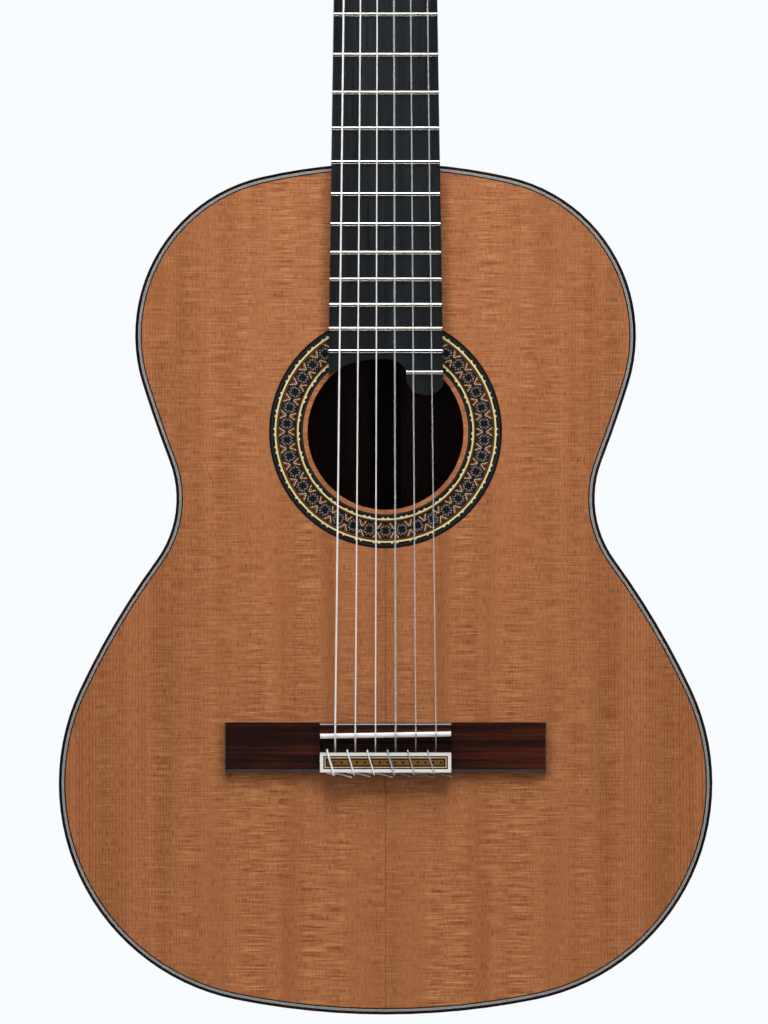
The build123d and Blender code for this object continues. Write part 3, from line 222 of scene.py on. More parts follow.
class Graph:
    """A material's nodes, added one call at a time."""

    def __init__(self, name, **sockets):
        self.material = bpy.data.materials.new(name)
        self.material.use_nodes = True
        self.tree = self.material.node_tree
        self.shader = self.tree.nodes["Principled BSDF"]
        for key, value in sockets.items():
            self.shader.inputs[key if key == "IOR" else key.replace("_", " ").title()].default_value = value

    def add(self, kind, settings=None, **inputs):
        node = self.tree.nodes.new("ShaderNode" + kind)
        for key, value in (settings or {}).items():
            setattr(node, key, value)
        for key, value in inputs.items():
            self.put(node, key.replace("_", " "), value)
        return node

    def put(self, node, key, value):
        """Sets a socket, by name or number, to a value or to another node's output."""
        socket = node.inputs[int(key[1:])] if key[1:].isdigit() and key[0] == "i" else node.inputs[key]
        if isinstance(value, bpy.types.Node):
            value = value.outputs[0]
        if isinstance(value, bpy.types.NodeSocket):
            self.tree.links.new(value, socket)
        else:
            socket.default_value = value

    def place(self, mirrored=False):
        """Object coordinates, folded about the centreline where the wood is book-matched."""
        spot = self.add("TexCoord").outputs["Object"]
        if not mirrored:
            return spot
        parts = self.add("SeparateXYZ", Vector=spot)
        folded = self.add("Math", {"operation": "ABSOLUTE"}, i0=parts.outputs[0])
        return self.add("CombineXYZ", X=folded, Y=parts.outputs[1], Z=parts.outputs[2]).outputs[0]

    def stretched(self, spot, scale, offset=(0, 0, 0)):
        return self.add("Mapping", Vector=spot, Scale=scale, Location=offset).outputs[0]

    def noise(self, spot, scale, offset=(0, 0, 0), detail=4.0, roughness=0.55, distortion=0.0):
        node = self.add("TexNoise", Vector=self.stretched(spot, scale, offset), Scale=1.0, Detail=detail)
        node.inputs["Roughness"].default_value = roughness
        node.inputs["Distortion"].default_value = distortion
        return node.outputs[0]

    def ramp(self, value, *stops):
        node = self.add("ValToRGB", Fac=value)
        elements = node.color_ramp.elements
        while len(elements) < len(stops):
            elements.new(0.5)
        for element, (position, colour) in zip(elements, stops):
            element.position = position
            element.color = colour if isinstance(colour, tuple) else (colour, colour, colour, 1)
        return node.outputs[0]

    def math(self, operation, first, second=0.0):
        node = self.add("Math", {"operation": operation}, i0=first, i1=second)
        return node.outputs[0]

    def blend(self, kind, factor, first, second):
        node = self.add("Mix", {"data_type": "RGBA", "blend_type": kind})
        self.put(node, "Factor", factor)
        for key, value in ((6, first), (7, second)):
            if isinstance(value, bpy.types.NodeSocket):
                self.tree.links.new(value, node.inputs[key])
            else:
                node.inputs[key].default_value = value
        return node.outputs[2]

    def span(self, value, low, high, new_low, new_high):
        node = self.add("MapRange", Value=value)
        for key, number in zip(("From Min", "From Max", "To Min", "To Max"), (low, high, new_low, new_high)):
            node.inputs[key].default_value = number
        return node.outputs[0]

    def finish(self, colour=None, roughness=None, height=None, bump=0.0002, strength=0.3):
        if colour is not None:
            self.put(self.shader, "Base Color", colour)
        if roughness is not None:
            self.put(self.shader, "Roughness", roughness)
        if height is not None:
            node = self.add("Bump", Height=height, Strength=strength, Distance=bump)
            self.tree.links.new(node.outputs[0], self.shader.inputs["Normal"])
        return self.material


def wood(
    name, dark, middle, light, along="z", lines=260, figure=30, mirrored=False, gloss=0.3, coat=0.0, pores=0.5
):
    """Straight-grained wood whose grain runs along one axis, with streaks, pores and a little figure."""
    g = Graph(name, Coat_weight=coat, Coat_roughness=0.08)
    spot = g.place(mirrored)
    run = {"x": (1, 0, 0), "z": (0, 0, 1)}[along]

    def lengthways(across, length):
        return tuple(length if axis else across for axis in run)

    broad = g.noise(spot, lengthways(figure, figure * 0.09), detail=3, distortion=0.6)
    fine = g.noise(spot, lengthways(lines, lines * 0.02), (3.1, 1.7, 0.4), detail=6, roughness=0.7)
    streaks = g.math("ADD", g.math("MULTIPLY", broad, 0.62), g.math("MULTIPLY", fine, 0.38))
    colour = g.ramp(streaks, (0.34, dark), (0.5, middle), (0.66, light))
    dashes = g.noise(spot, lengthways(lines * 9, lines * 0.35), (0.3, 5.2, 1.1), detail=2)
    holes = g.ramp(dashes, (0.36, 1.0), (0.46, 0.0))
    colour = g.blend("MULTIPLY", g.math("MULTIPLY", holes, pores), colour, (0.35, 0.3, 0.28, 1))
    rough = g.span(fine, 0.3, 0.7, gloss * 0.8, gloss * 1.25)
    height = g.math("SUBTRACT", fine, g.math("MULTIPLY", holes, pores))
    return g.finish(colour, rough, height, 0.00006, 0.25)


def cedar_top():
    """Quarter-sawn red cedar: book-matched bands and annual lines, with silky ripples across the grain."""
    g = Graph("cedar_top", Coat_weight=0.2, Coat_roughness=0.28)
    spot, folded = g.place(), g.place(mirrored=True)
    aside = g.add("SeparateXYZ", Vector=folded).outputs[0]
    bands = g.noise(folded, (38, 0, 0.8), (0.4, 0, 0), detail=5, roughness=0.62, distortion=0.12)
    colour = g.ramp(
        bands,
        (0.30, paint(146, 88, 48)),
        (0.44, paint(161, 99, 56)),
        (0.56, paint(174, 109, 65)),
        (0.72, paint(154, 93, 52)),
    )
    # annual lines, about two millimetres apart, clearest towards the sides
    bent = g.math("ADD", aside, g.math("MULTIPLY", g.noise(spot, (9, 0, 1.1), detail=2), 0.012))
    saw = {"wave_type": "BANDS", "bands_direction": "X", "wave_profile": "SAW"}
    rings = g.add("TexWave", saw, Vector=g.add("CombineXYZ", X=bent))
    rings.inputs["Scale"].default_value = 172
    uneven = g.noise(folded, (420, 0, 3), (2, 0, 0), detail=2)
    late = g.ramp(rings.outputs[1], (0.62, 0.0), (0.95, 1.0))
    late = g.math("MULTIPLY", late, g.span(aside, 0.06, 0.15, 0.08, 0.75))
    late = g.math("MULTIPLY", late, g.span(uneven, 0.3, 0.7, 0.2, 1.3))
    colour = g.blend("MULTIPLY", late, colour, paint(186, 140, 108))
    # pores and short dashes along the grain, and a fine speckle
    dashes = g.noise(spot, (1500, 0, 210), (1.3, 0, 0.7), detail=3, roughness=0.7)
    colour = g.blend("MULTIPLY", g.ramp(dashes, (0.30, 0.85), (0.47, 0.0)), colour, paint(158, 112, 82))
    colour = g.blend("SCREEN", g.ramp(dashes, (0.54, 0.0), (0.72, 0.24)), colour, paint(214, 156, 106))
    # silk: fine ripples across the grain, in upright strips and patches
    silk = g.noise(spot, (58, 0, 1050), (0, 0, 2.2), detail=4, roughness=0.6, distortion=0.25)
    strips = g.ramp(g.noise(folded, (46, 0, 5), (5, 0, 1), detail=3), (0.36, 0.12), (0.60, 1.0))
    strength = g.math("MULTIPLY", strips, g.span(aside, 0.08, 0.17, 1.0, 0.4))
    lit = g.math("MULTIPLY", g.ramp(silk, (0.50, 0.0), (0.66, 0.46)), strength)
    colour = g.blend("SCREEN", lit, colour, paint(206, 146, 94))
    dull = g.math("MULTIPLY", g.ramp(silk, (0.32, 0.80), (0.48, 0.0)), strength)
    colour = g.blend("MULTIPLY", dull, colour, paint(166, 120, 90))
    # the glued joint down the middle
    colour = g.blend("MULTIPLY", g.span(aside, 0.0001, 0.0006, 0.45, 0.0), colour, paint(130, 90, 66))
    height = g.math("ADD", g.math("MULTIPLY", late, -0.5), g.math("MULTIPLY", silk, 0.35))
    return g.finish(colour, g.span(silk, 0.3, 0.7, 0.36, 0.48), height, 0.00005, 0.35)


def plain_metal(name, colour, roughness, brushed=(900, 40, 900), wear=0.12):
    """Metal with fine brushing and a faint cloudy tarnish."""
    g = Graph(name, Metallic=1.0)
    spot = g.place()
    lines = g.noise(spot, brushed, detail=3)
    clouds = g.noise(spot, (160, 160, 160), detail=3)
    tone = g.blend("MULTIPLY", g.span(clouds, 0.4, 0.7, 0.0, wear * 3), colour, paint(190, 170, 140))
    return g.finish(tone, g.span(lines, 0.3, 0.7, roughness * 0.7, roughness * 1.4), lines, 0.00002, 0.15)


def bone(name, colour, shade):
    g = Graph(name, Subsurface_weight=0.08, Coat_weight=0.25, Coat_roughness=0.15)
    g.shader.inputs["Subsurface Radius"].default_value = (0.0012, 0.0008, 0.0005)
    spot = g.place()
    clouds = g.noise(spot, (90, 90, 90), detail=3)
    flecks = g.noise(spot, (260, 2200, 2200), detail=2)
    tone = g.blend("MIX", g.span(clouds, 0.35, 0.7, 0.0, 0.5), colour, shade)
    tone = g.blend("MULTIPLY", g.ramp(flecks, (0.30, 0.25), (0.40, 0.0)), tone, shade)
    return g.finish(tone, g.span(flecks, 0.3, 0.7, 0.26, 0.36), flecks, 0.00002, 0.15)


def stained(name, colour, roughness=0.42, shift=0.25):
    """Small sticks of dyed wood, each patch of them a little lighter or darker."""
    g = Graph(name, Coat_weight=0.04, Coat_roughness=0.2)
    g.shader.inputs["Specular IOR Level"].default_value = 0.25
    spot = g.place()
    tone = g.noise(spot, (1500, 10, 1500), detail=2)
    dark = tuple(c * (1 - shift) for c in colour[:3]) + (1,)
    light = tuple(min(1, c * (1 + shift)) for c in colour[:3]) + (1,)
    gloss = g.span(tone, 0.3, 0.7, roughness * 0.85, roughness * 1.15)
    return g.finish(g.ramp(tone, (0.35, dark), (0.65, light)), gloss, tone, 0.00002, 0.1)


def purfling_lines():
    """Veneer lines that follow the edge, read from the map's first axis: 0 outside, 1 inside."""
    g = Graph("purfling_lines", Coat_weight=0.2, Coat_roughness=0.2)
    across = g.add("SeparateXYZ", Vector=g.add("UVMap", {"uv_map": "across"})).outputs[0]
    black, white, grey = paint(22, 20, 21), paint(170, 170, 168), paint(60, 62, 65)
    lines = g.ramp(
        across,
        (0.0, black), (0.10, white), (0.26, grey), (0.34, white), (0.46, black), (0.52, white), (0.66, black),
    )
    lines.node.color_ramp.interpolation = "CONSTANT"
    speckle = g.noise(g.place(), (900, 900, 900), detail=2)
    colour = g.blend("MULTIPLY", g.ramp(speckle, (0.3, 0.35), (0.5, 0.0)), lines, paint(150, 140, 130))
    return g.finish(colour, g.span(speckle, 0.3, 0.7, 0.3, 0.42), speckle, 0.00002, 0.1)


def wound_wire():
    """Silver-plated winding, wrapped closely round the string."""
    g = Graph("wound_silver", Metallic=0.35)
    spot = g.place()
    coils = g.add("TexWave", {"wave_type": "BANDS", "bands_direction": "Z"}, Vector=spot)
    coils.inputs["Scale"].default_value = 1250
    clouds = g.noise(spot, (60, 60, 60), detail=2)
    tone = g.ramp(clouds, (0.3, paint(240, 240, 240)), (0.7, paint(252, 252, 250)))
    return g.finish(tone, g.span(clouds, 0.3, 0.7, 0.30, 0.40), coils.outputs[1], 0.00004, 0.4)


def clear_nylon():
    g = Graph("nylon_clear", Roughness=0.2, IOR=1.53, Transmission_weight=0.72, Coat_weight=0.1)
    haze = g.noise(g.place(), (400, 400, 30), detail=2)
    tone = g.ramp(haze, (0.3, paint(226, 230, 234)), (0.7, paint(240, 242, 244)))
    return g.finish(tone, g.span(haze, 0.3, 0.7, 0.15, 0.25))


def pearl(name):
    """Pearl-like plastic with cloudy swirls under a clear gloss."""
    g = Graph(name, Coat_weight=0.8, Coat_roughness=0.06, Subsurface_weight=0.1)
    g.shader.inputs["Subsurface Radius"].default_value = (0.002, 0.0018, 0.0014)
    spot = g.place()
    swirl = g.noise(spot, (170, 170, 120), detail=4, distortion=2.4)
    tone = g.ramp(swirl, (0.30, paint(190, 178, 152)), (0.48, paint(226, 219, 200)), (0.62, paint(243, 240, 230)))
    return g.finish(tone, g.span(swirl, 0.3, 0.7, 0.18, 0.32))


INK = paint(13, 11, 12)
mats = {
    "cedar": cedar_top(),
    "ribs": wood(
        "rosewood_ribs", paint(28, 12, 9), paint(78, 35, 21), paint(128, 64, 35),
        "z", 240, 34, gloss=0.22, coat=0.35,
    ),
    "back": wood(
        "rosewood_back", paint(28, 12, 9), paint(84, 37, 22), paint(136, 68, 37),
        "z", 240, 34, True, 0.22, 0.3,
    ),
    "bridge": wood(
        "bridge_rosewood", paint(8, 4, 4), paint(38, 15, 11), paint(98, 42, 22),
        "x", 300, 48, gloss=0.26, coat=0.3, pores=0.5,
    ),
    "binding": wood(
        "binding_dark", paint(14, 9, 8), paint(32, 19, 15), paint(52, 30, 22),
        "z", 500, 60, gloss=0.24, coat=0.4,
    ),
    "neck": wood(
        "neck_cedro", paint(96, 54, 34), paint(128, 76, 48), paint(152, 94, 60),
        "z", 300, 26, gloss=0.32, coat=0.25,
    ),
    "veneer": wood(
        "head_rosewood", paint(24, 11, 9), paint(58, 27, 18), paint(98, 48, 29),
        "z", 260, 40, True, 0.2, 0.6,
    ),
    "ebony": wood(
        "ebony", paint(15, 18, 20), paint(22, 26, 29), paint(33, 37, 41),
        "z", 420, 30, gloss=0.34, coat=0.15, pores=0.6,
    ),
    "spruce": wood(
        "brace_spruce", paint(176, 136, 88), paint(204, 165, 112), paint(222, 188, 138),
        "z", 520, 30, gloss=0.55, pores=0.2,
    ),
    "lining": wood(
        "lining_cedar", paint(132, 88, 54), paint(160, 112, 72), paint(182, 134, 90),
        "z", 300, 30, gloss=0.6, pores=0.4,
    ),
    "maple": wood(
        "inlay_maple", paint(168, 130, 84), paint(194, 158, 108), paint(214, 184, 136),
        "z", 300, 50, gloss=0.3, coat=0.4, pores=0.15,
    ),
    "bone": bone("bone", paint(236, 234, 228), paint(222, 216, 202)),
    "frets": plain_metal("fret_wire", paint(226, 223, 216), 0.12, (2600, 90, 90), 0.06),
    "brass": plain_metal("tuner_brass", paint(224, 186, 110), 0.2),
    "gear": plain_metal("gear_brass", paint(206, 168, 98), 0.3),
    "screw": plain_metal("tuner_screw", paint(226, 190, 118), 0.22),
    "steel": plain_metal("worm_steel", paint(200, 196, 188), 0.25),
    "roller": bone("roller_white", paint(236, 230, 212), paint(222, 212, 188)),
    "pearl": pearl("button_pearl"),
    "wound": wound_wire(),
    "nylon": clear_nylon(),
    "purfling": purfling_lines(),
    "black": stained("inlay_black", INK),
    "slate": stained("inlay_slate", paint(58, 58, 62)),
    "umber": stained("inlay_umber", paint(28, 17, 12)),
    "amber": stained("inlay_amber", paint(136, 80, 34)),
    "cream": stained("inlay_cream", paint(222, 190, 158), shift=0.12),
    "silver": stained("inlay_silver", paint(138, 128, 124), shift=0.15),
    "straw": stained("inlay_straw", paint(222, 208, 146), shift=0.08),
    "gold": stained("inlay_gold", paint(112, 82, 34)),
    "white": stained("inlay_white", paint(224, 216, 190), shift=0.06),
    "dark_wood": wood(
        "inside_mahogany", paint(40, 20, 13), paint(58, 31, 20), paint(78, 44, 28),
        "z", 300, 30, gloss=0.5, pores=0.4,
    ),
}

NODE_FINISH = {
    "soundboard": "cedar", "soundhole_patch": "spruce", "fan_braces": "spruce", "harmonic_bars": "spruce",
    "back_panels": "back", "back_strip": "maple", "back_braces": "dark_wood", "back_cleats": "dark_wood",
    "ribs": "ribs", "linings": "lining", "tail_block": "lining", "end_graft": "maple", "top_binding": "binding",
    "back_binding": "binding", "neck": "neck", "heel_cap": "veneer", "headstock": "neck", "head_veneer": "veneer",
    "fingerboard": "ebony", "frets": "frets", "nut": "bone", "bridge": "bridge", "saddle": "bone",
    "tie_block_frame": "bone", "treble_tuner_plate": "brass", "bass_tuner_plate": "brass",
    "tuner_plate_screws": "screw",
}
for number in range(1, 7):
    NODE_FINISH[f"roller_{number}"] = "roller"
    NODE_FINISH[f"gear_{number}"] = "gear"
    NODE_FINISH[f"worm_{number}"] = "steel"
    NODE_FINISH[f"button_{number}"] = "pearl"
for node, finish in NODE_FINISH.items():
    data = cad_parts[node].data
    data.materials.clear()
    data.materials.append(mats[finish])


# ================================================================ the rosette
def motif_tile(turn, level):
    """The stick at a place in one motif: turn runs -1 to 1 between stars, level -1 to 1 across the band."""
    aside, height = abs(turn), abs(level)
    limb = 0.20 + 1.40 * aside
    if aside < 0.52 and abs(height - limb) < 0.072 and height < 0.92:
        return "cream"
    if height > 0.93:
        return "black"
    if aside < 0.50 and height > limb:
        return "amber" if 0.16 < height - limb < 0.34 else "umber"
    reach, rise = 1 - aside, height
    for near, far in ((reach, rise), (rise, reach)):
        if near < 0.26 and abs(far - (0.44 + 0.75 * near)) < 0.07:
            return "silver"
    if abs(reach - 0.40) < 0.07 and abs(rise - 0.40) < 0.07:
        return "silver"
    if reach + rise < 0.62 or max(reach, rise) < 0.36:
        return "black"
    return "umber"


def in_pair(angle, pairs):
    """True on one of the two dots that repeat round a ring."""
    share = (angle * pairs / (2 * pi)) % 1
    return abs(share - 0.36) < 0.055 or abs(share - 0.64) < 0.055


def ring_tile(radius, angle):
    """The stick at a place on one of the plain rings on either side of the mosaic."""
    inner = ("black", "slate", "black", "black", "dots", "straw", "umber", "amber", "umber")
    outer = ("umber", "amber", "umber", "umber", "straw", "dots", "black", "slate", "black", "black")
    if radius < ROSETTE_RINGS[-1]:
        found = next(k for k in range(len(inner)) if radius < ROSETTE_RINGS[k + 1])
        kind = inner[found]
        pairs = INNER_DOT_PAIRS
    else:
        found = next(k for k in range(len(outer)) if k == len(outer) - 1 or radius < ROSETTE_OUTER_RINGS[k])
        kind = outer[found]
        pairs = MOTIFS
    if kind == "dots":
        return "white" if in_pair(angle, pairs) else "black"
    return kind


def rosette():
    """The mosaic ring: a fine grid bent round the soundhole, each cell a stick of dyed wood."""
    band_low, band_high = ROSETTE_RINGS[-1], ROSETTE_OUTER_RINGS[0]
    levels = [band_low + (band_high - band_low) * k / MOTIF_TILES for k in range(1, MOTIF_TILES)]
    radii = [*ROSETTE_RINGS, *levels, *ROSETTE_OUTER_RINGS]
    columns = MOTIFS * MOTIF_TILES
    clear_selection()
    bpy.ops.mesh.primitive_grid_add(x_subdivisions=columns, y_subdivisions=len(radii) - 1, size=2)
    piece = named("rosette_mosaic")
    centre = at(0, hole_z / MM, 0)
    for vertex in piece.data.vertices:
        angle = (vertex.co.x + 1) * pi
        row = round((vertex.co.y + 1) / 2 * (len(radii) - 1))
        vertex.co = centre + Vector((sin(angle), 0, cos(angle))) * radii[row] * MM
    colours = ["black", "slate", "umber", "amber", "cream", "silver", "straw", "white"]
    for name in colours:
        piece.data.materials.append(mats[name])
    middle_radius, half_band = (band_low + band_high) / 2, (band_high - band_low) / 2
    for face in piece.data.polygons:
        spoke = face.center - centre
        radius = spoke.length / MM
        angle = (pi / 2 - (Vector((spoke.x, spoke.z)).angle_signed(Vector((1, 0))))) % (2 * pi)
        if band_low < radius < band_high:
            turn = (angle * MOTIFS / (2 * pi)) % 1 * 2 - 1
            kind = motif_tile(turn, (radius - middle_radius) / half_band)
        else:
            kind = ring_tile(radius, angle)
        face.material_index = colours.index(kind)
    weld(piece)
    flip_towards(piece, Vector((0, -1, 0)))
    add_modifier(piece, "SOLIDIFY", thickness=ROSETTE_DEPTH * MM, offset=-1)
    apply_modifiers(piece)
    return finish_piece(piece, "guitar", "rosette_mosaic", replaces=("rosette",))


# ================================================================ edge lines
def purfling():
    """The fine lines inside the binding, mapped across the ring from its outer edge to its inner edge."""
    ring = welded_copy("top_purfling", "edge_purfling")
    outer = on_outer_wall(ring)
    layer = ring.data.uv_layers.new(name="across")
    for loop in ring.data.loops:
        layer.data[loop.index].uv = (0.0 if outer[loop.vertex_index] else 1.0, 0.5)
    return finish_piece(ring, "guitar", "purfling_lines", mats["purfling"], replaces=("top_purfling",))


def welded_copy(node, name):
    """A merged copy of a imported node, under its own name, with no materials or maps."""
    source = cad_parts[node]
    piece = bpy.data.objects.new(name, source.data.copy())
    bpy.context.scene.collection.objects.link(piece)
    piece.data.materials.clear()
    for layer in list(piece.data.uv_layers):
        piece.data.uv_layers.remove(layer)
    weld(piece)
    return piece


def on_outer_wall(piece):
    """For each vertex of an edge ring, True if it lies on the ring's outer wall."""
    outside = {}
    for face in piece.data.polygons:
        if abs(face.normal.y) > 0.5:
            continue
        # a wall whose normal points away from the body's middle at that height is the outer one
        middle = min(max(face.center.z, BODY_MIDDLES[0]), BODY_MIDDLES[1])
        outward = face.normal.dot(Vector((face.center.x, 0, face.center.z - middle))) > 0
        for vertex in face.vertices:
            outside[vertex] = outward
    return [outside.get(k, True) for k in range(len(piece.data.vertices))]


# ================================================================ the tie block's inlay
def tie_block_inlay():
    """The strip in the bone frame: black, cream and black borders round a gold band with two-tone dots."""
    low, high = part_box("tie_block_mosaic")
    width, height = high.x - low.x, high.z - low.z
    middle_x, front, middle_z = (low.x + high.x) / 2, low.y, (low.z + high.z) / 2
    clear_selection()
    bpy.ops.mesh.primitive_plane_add(size=1, rotation=(pi / 2, 0, 0), location=(middle_x, front, middle_z))
    piece = named("tie_block_inlay")
    piece.scale = (width, height, 1)
    settle(piece)
    names = ["black", "cream", "gold", "amber"]
    for name in names:
        piece.data.materials.append(mats[name])
    edit(piece, "FACE")
    bpy.ops.mesh.select_all(action="SELECT")
    for step, thickness in enumerate(INLAY_BORDERS):
        bpy.ops.mesh.inset(thickness=thickness * MM, depth=0)
        leave_edit()
        centre_face = max(piece.data.polygons, key=lambda f: f.select)
        centre_face.material_index = (1, 0, 2)[step]
        bpy.ops.object.mode_set(mode="EDIT")
    leave_edit()
    add_modifier(piece, "SOLIDIFY", thickness=(high.y - low.y), offset=-1)
    flip_towards(piece, Vector((0, -1, 0)))
    apply_modifiers(piece)
    count = int((width / MM - DOT_MARGIN) / DOT_PITCH)
    dots = []
    for k in range(count + 1):
        x = middle_x + (k - count / 2) * DOT_PITCH * MM
        bpy.ops.mesh.primitive_cylinder_add(
            vertices=12, radius=DOT_RADII[k % 2] * MM, depth=DOT_HEIGHT * MM,
            rotation=(pi / 2, 0, 0), location=(x, front + DOT_SINK * MM, middle_z),
        )
        dot = named("inlay_dot")
        settle(dot)
        for name in names:
            dot.data.materials.append(mats[name])
        for face in dot.data.polygons:
            face.material_index = 0 if k % 2 else 3
        dots.append(dot)
    clear_selection()
    for dot in dots:
        dot.select_set(True)
    piece.select_set(True)
    bpy.context.view_layer.objects.active = piece
    bpy.ops.object.join()
    return finish_piece(piece, "guitar", "tie_block_inlay", replaces=("tie_block_mosaic",))


# ================================================================ strings
def string_share(number):
    """A string's place across the set: half on the treble side for the first, minus half for the last."""
    return 0.5 - (number - 1) / 5


def tuner_side(number):
    """1 for the treble side's machines and -1 for the bass side's."""
    return 1 if number <= 3 else -1


def roller_place(number):
    """The middle of a roller, from its packed box."""
    low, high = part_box(f"roller_{number}")
    return Vector(((low.x + high.x) / 2, (low.y + high.y) / 2, (low.z + high.z) / 2))


def wound_x(number):
    """Across from the centreline to where a string meets its roller."""
    step = number - 1 if number <= 3 else 6 - number
    return tuner_side(number) * ROLLER_STRING_PLACES[step]


def string_finish(number):
    """The slot and the material of a string: clear nylon for the trebles, wound wire for the basses."""
    return ("nylon_clear", mats["nylon"]) if number <= 3 else ("wound_silver", mats["wound"])


def string(number):
    """One string: its tail, both passes through the tie block, the loop over it, saddle, nut and roller."""
    r = STRING_DIAMETERS[number - 1] / 2
    x = SADDLE_SPREAD * string_share(number)
    loop = x - LOOP_PITCH
    back, front = tie_low.z / MM, tie_high.z / MM
    top = (face_y - tie_low.y) / MM + r
    hole = STRING_HOLE_HEIGHT
    tight = 1.0 + r
    lean = 0.4 * ((number * 7) % 5 - 2)  # no two tails lie quite alike
    crest = saddle_z / MM + x * tan(radians(SADDLE_SLANT))
    points = [
        at(x + 9.4 + lean, back - 3.0 - 0.2 * lean, hole - 2.2),
        at(x + 5.2, back - 1.7, hole - 1.4),
        at(x + 1.2, back - r - 0.25, hole - 0.3),
        at(loop + 1.1, back - r - 0.2, hole),
        at(loop, back - r, hole),
        at(loop, back + 1.2, hole),
        at(loop, front - 1.0, hole),
        at(loop, front + tight, hole),
        at(loop, front + tight, hole + 2.0),
        at(loop, front + tight * 0.9, top + 0.1),
        at(loop + 0.25, front - 0.6, top),
        at(x - 1.3, back + 1.0, top),
        at(x - 1.0, back - 2.6 * r, top + 0.1),
        at(x - 0.8, back - 3.4 * r, hole + 2.2),
        at(x - 0.3, back - 3.0 * r, hole),
        at(x, back + 1.0, hole),
        at(x, front - 1.2, hole),
        at(x, front + 0.6, hole + 0.3),
        at(x, crest - 3.2, SADDLE_STRING_HEIGHT + r - 2.6),
        at(x, crest - 0.6, SADDLE_STRING_HEIGHT + r + 0.05),
        at(x, crest + 3.0, SADDLE_STRING_HEIGHT + r),
    ]
    nut_x = NUT_SPREAD * string_share(number)
    seat = NUT_STRING_HEIGHT + r
    first, last = crest, nut_low.z / MM
    rest = SADDLE_STRING_HEIGHT + r
    for share in (0.05, 0.5, 0.95):
        points.append(at(x + (nut_x - x) * share, first + (last - first) * share, rest + (seat - rest) * share))
    points.append(at(nut_x, nut_low.z / MM - 1.0, seat))
    points.append(at(nut_x, nut_low.z / MM + 0.9, seat))
    axis = roller_place(number)
    crown = Vector((wound_x(number) * MM, axis.y, axis.z)) + HEAD_OUT * (ROLLER_RADIUS + r + CROWN_SEAT) * MM
    start = points[-1]
    points += [start.lerp(crown, share) for share in (0.06, 0.5, 0.94)]
    points.append(crown + HEAD_UP * 0.4 * MM)
    piece = tube(f"string_line_{number}", points, 2 * r * MM, sides=16, steps=8)
    slot_name, finish = string_finish(number)
    return finish_piece(piece, "guitar", slot_name, finish, replaces=(f"string_{number}",))


def winding(number):
    """The turns of a string on its roller, ending at the hole through the roller."""
    r = STRING_DIAMETERS[number - 1] / 2
    axis = roller_place(number)
    reach = (ROLLER_RADIUS + r + WINDING_SEAT) * MM
    side = tuner_side(number)
    points = []
    for k in range(int(WINDING_TURNS * WINDING_STEPS) + 1):
        turn = 2 * pi * k / WINDING_STEPS
        x = (abs(wound_x(number)) - (2 * r + WINDING_GAP) * k / WINDING_STEPS) * side
        centre = Vector((x * MM, axis.y, axis.z))
        points.append(centre + HEAD_OUT * cos(turn) * reach + HEAD_UP * sin(turn) * reach)
    onward = (points[-1] - points[-2]).normalized()
    points.append(points[-1] + onward * WINDING_TAIL * MM + Vector((-side * WINDING_TAIL_LEAN * MM, 0, 0)))
    piece = tube(f"string_winding_{number}", points, 2 * r * MM, sides=10, steps=3)
    slot_name, finish = string_finish(number)
    return finish_piece(piece, f"string_roller_{number}", slot_name, finish)


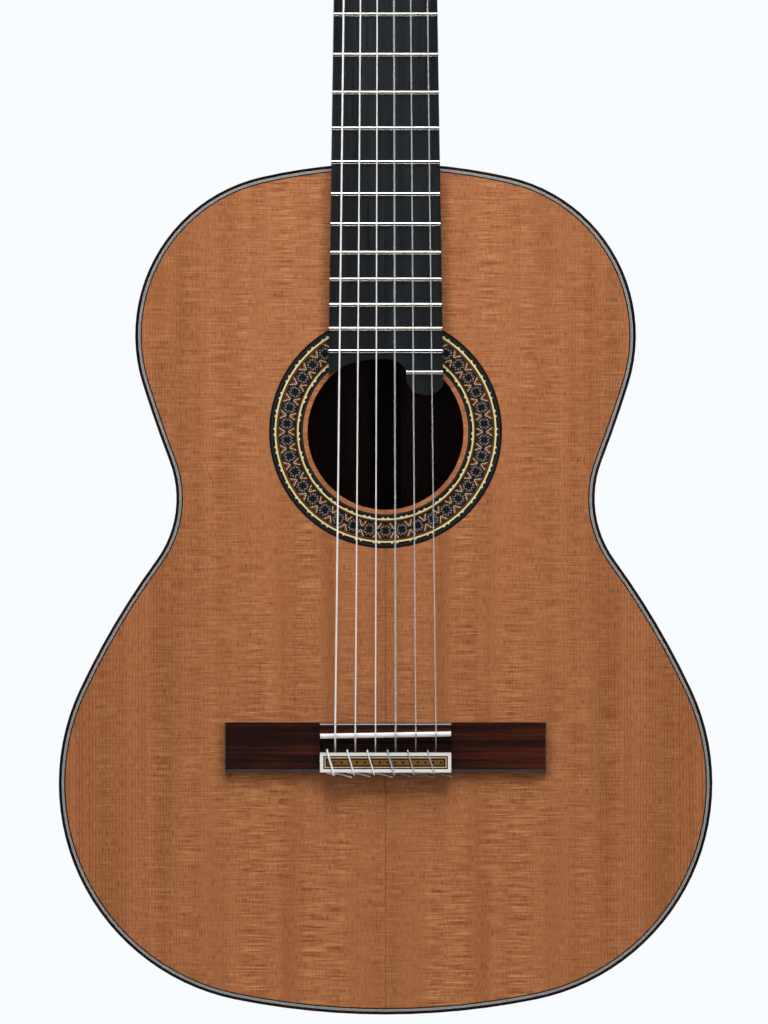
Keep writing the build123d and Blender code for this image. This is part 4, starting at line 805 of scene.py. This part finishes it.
# ================================================================ setting: backdrop, light and camera
def studio():
    """A pale floor in a white surround; what the surround lights and mirrors falls off towards a dark front."""
    clear_selection()
    bpy.ops.mesh.primitive_plane_add(size=FLOOR_SIZE, location=(0, FLOOR_Y, FLOOR_Z))
    floor = named("studio_floor")
    settle(floor)
    g = Graph("studio_floor", Roughness=0.9)
    speck = g.noise(g.place(), (3, 3, 3), detail=2)
    floor.data.materials.append(g.finish(g.ramp(speck, (0.3, paint(212, 214, 217)), (0.7, paint(216, 218, 221)))))

    world = bpy.data.worlds.new("studio")
    bpy.context.scene.world = world
    world.use_nodes = True
    tree = world.node_tree
    spot = tree.nodes.new("ShaderNodeTexCoord")
    parts = tree.nodes.new("ShaderNodeSeparateXYZ")
    ramp = tree.nodes.new("ShaderNodeValToRGB")
    shift = tree.nodes.new("ShaderNodeMath")
    shift.operation = "MULTIPLY_ADD"
    shift.inputs[1].default_value = shift.inputs[2].default_value = 0.5
    tree.links.new(spot.outputs["Generated"], parts.inputs[0])
    tree.links.new(parts.outputs[1], shift.inputs[0])
    tree.links.new(shift.outputs[0], ramp.inputs[0])
    dark, light = ramp.color_ramp.elements
    dark.position, dark.color = DARK_END, DARK_SIDE
    light.position, light.color = LIGHT_START, LIGHT_SIDE
    seen = tree.nodes.new("ShaderNodeMix")
    seen.data_type = "RGBA"
    seen.inputs[7].default_value = BACKDROP
    tree.links.new(tree.nodes.new("ShaderNodeLightPath").outputs["Is Camera Ray"], seen.inputs[0])
    tree.links.new(ramp.outputs[0], seen.inputs[6])
    tree.links.new(seen.outputs[2], tree.nodes["Background"].inputs[0])


def softbox(name, place, width, height, power):
    """A soft rectangular light that looks at the guitar's middle."""
    light = bpy.data.lights.new(name, "AREA")
    light.shape = "RECTANGLE"
    light.size, light.size_y = width, height
    light.energy = power
    lamp = bpy.data.objects.new(name, light)
    bpy.context.scene.collection.objects.link(lamp)
    lamp.location = place
    lamp.rotation_euler = (Vector(SOFTBOX_TARGET) - Vector(place)).to_track_quat("-Z", "Y").to_euler()


def camera():
    """Looks square on at the soundboard from a distance, with a short way up the neck in view."""
    data = bpy.data.cameras.new("front")
    data.sensor_fit = "VERTICAL"
    data.angle_y = 2 * atan(VIEW_HEIGHT / 2 / CAMERA_DISTANCE)
    view = bpy.data.objects.new("front", data)
    bpy.context.scene.collection.objects.link(view)
    view.location = at(VIEW_CENTRE_X, VIEW_CENTRE_Z, CAMERA_DISTANCE)
    view.rotation_euler = (pi / 2, 0, 0)
    data.clip_end = FAR_CLIP
    bpy.context.scene.camera = view


rosette()
purfling()
tie_block_inlay()
for number in range(1, 7):
    string(number)
    winding(number)
studio()
for box in SOFTBOXES:
    softbox(*box)
camera()
bpy.context.scene.view_settings.view_transform = "Standard"
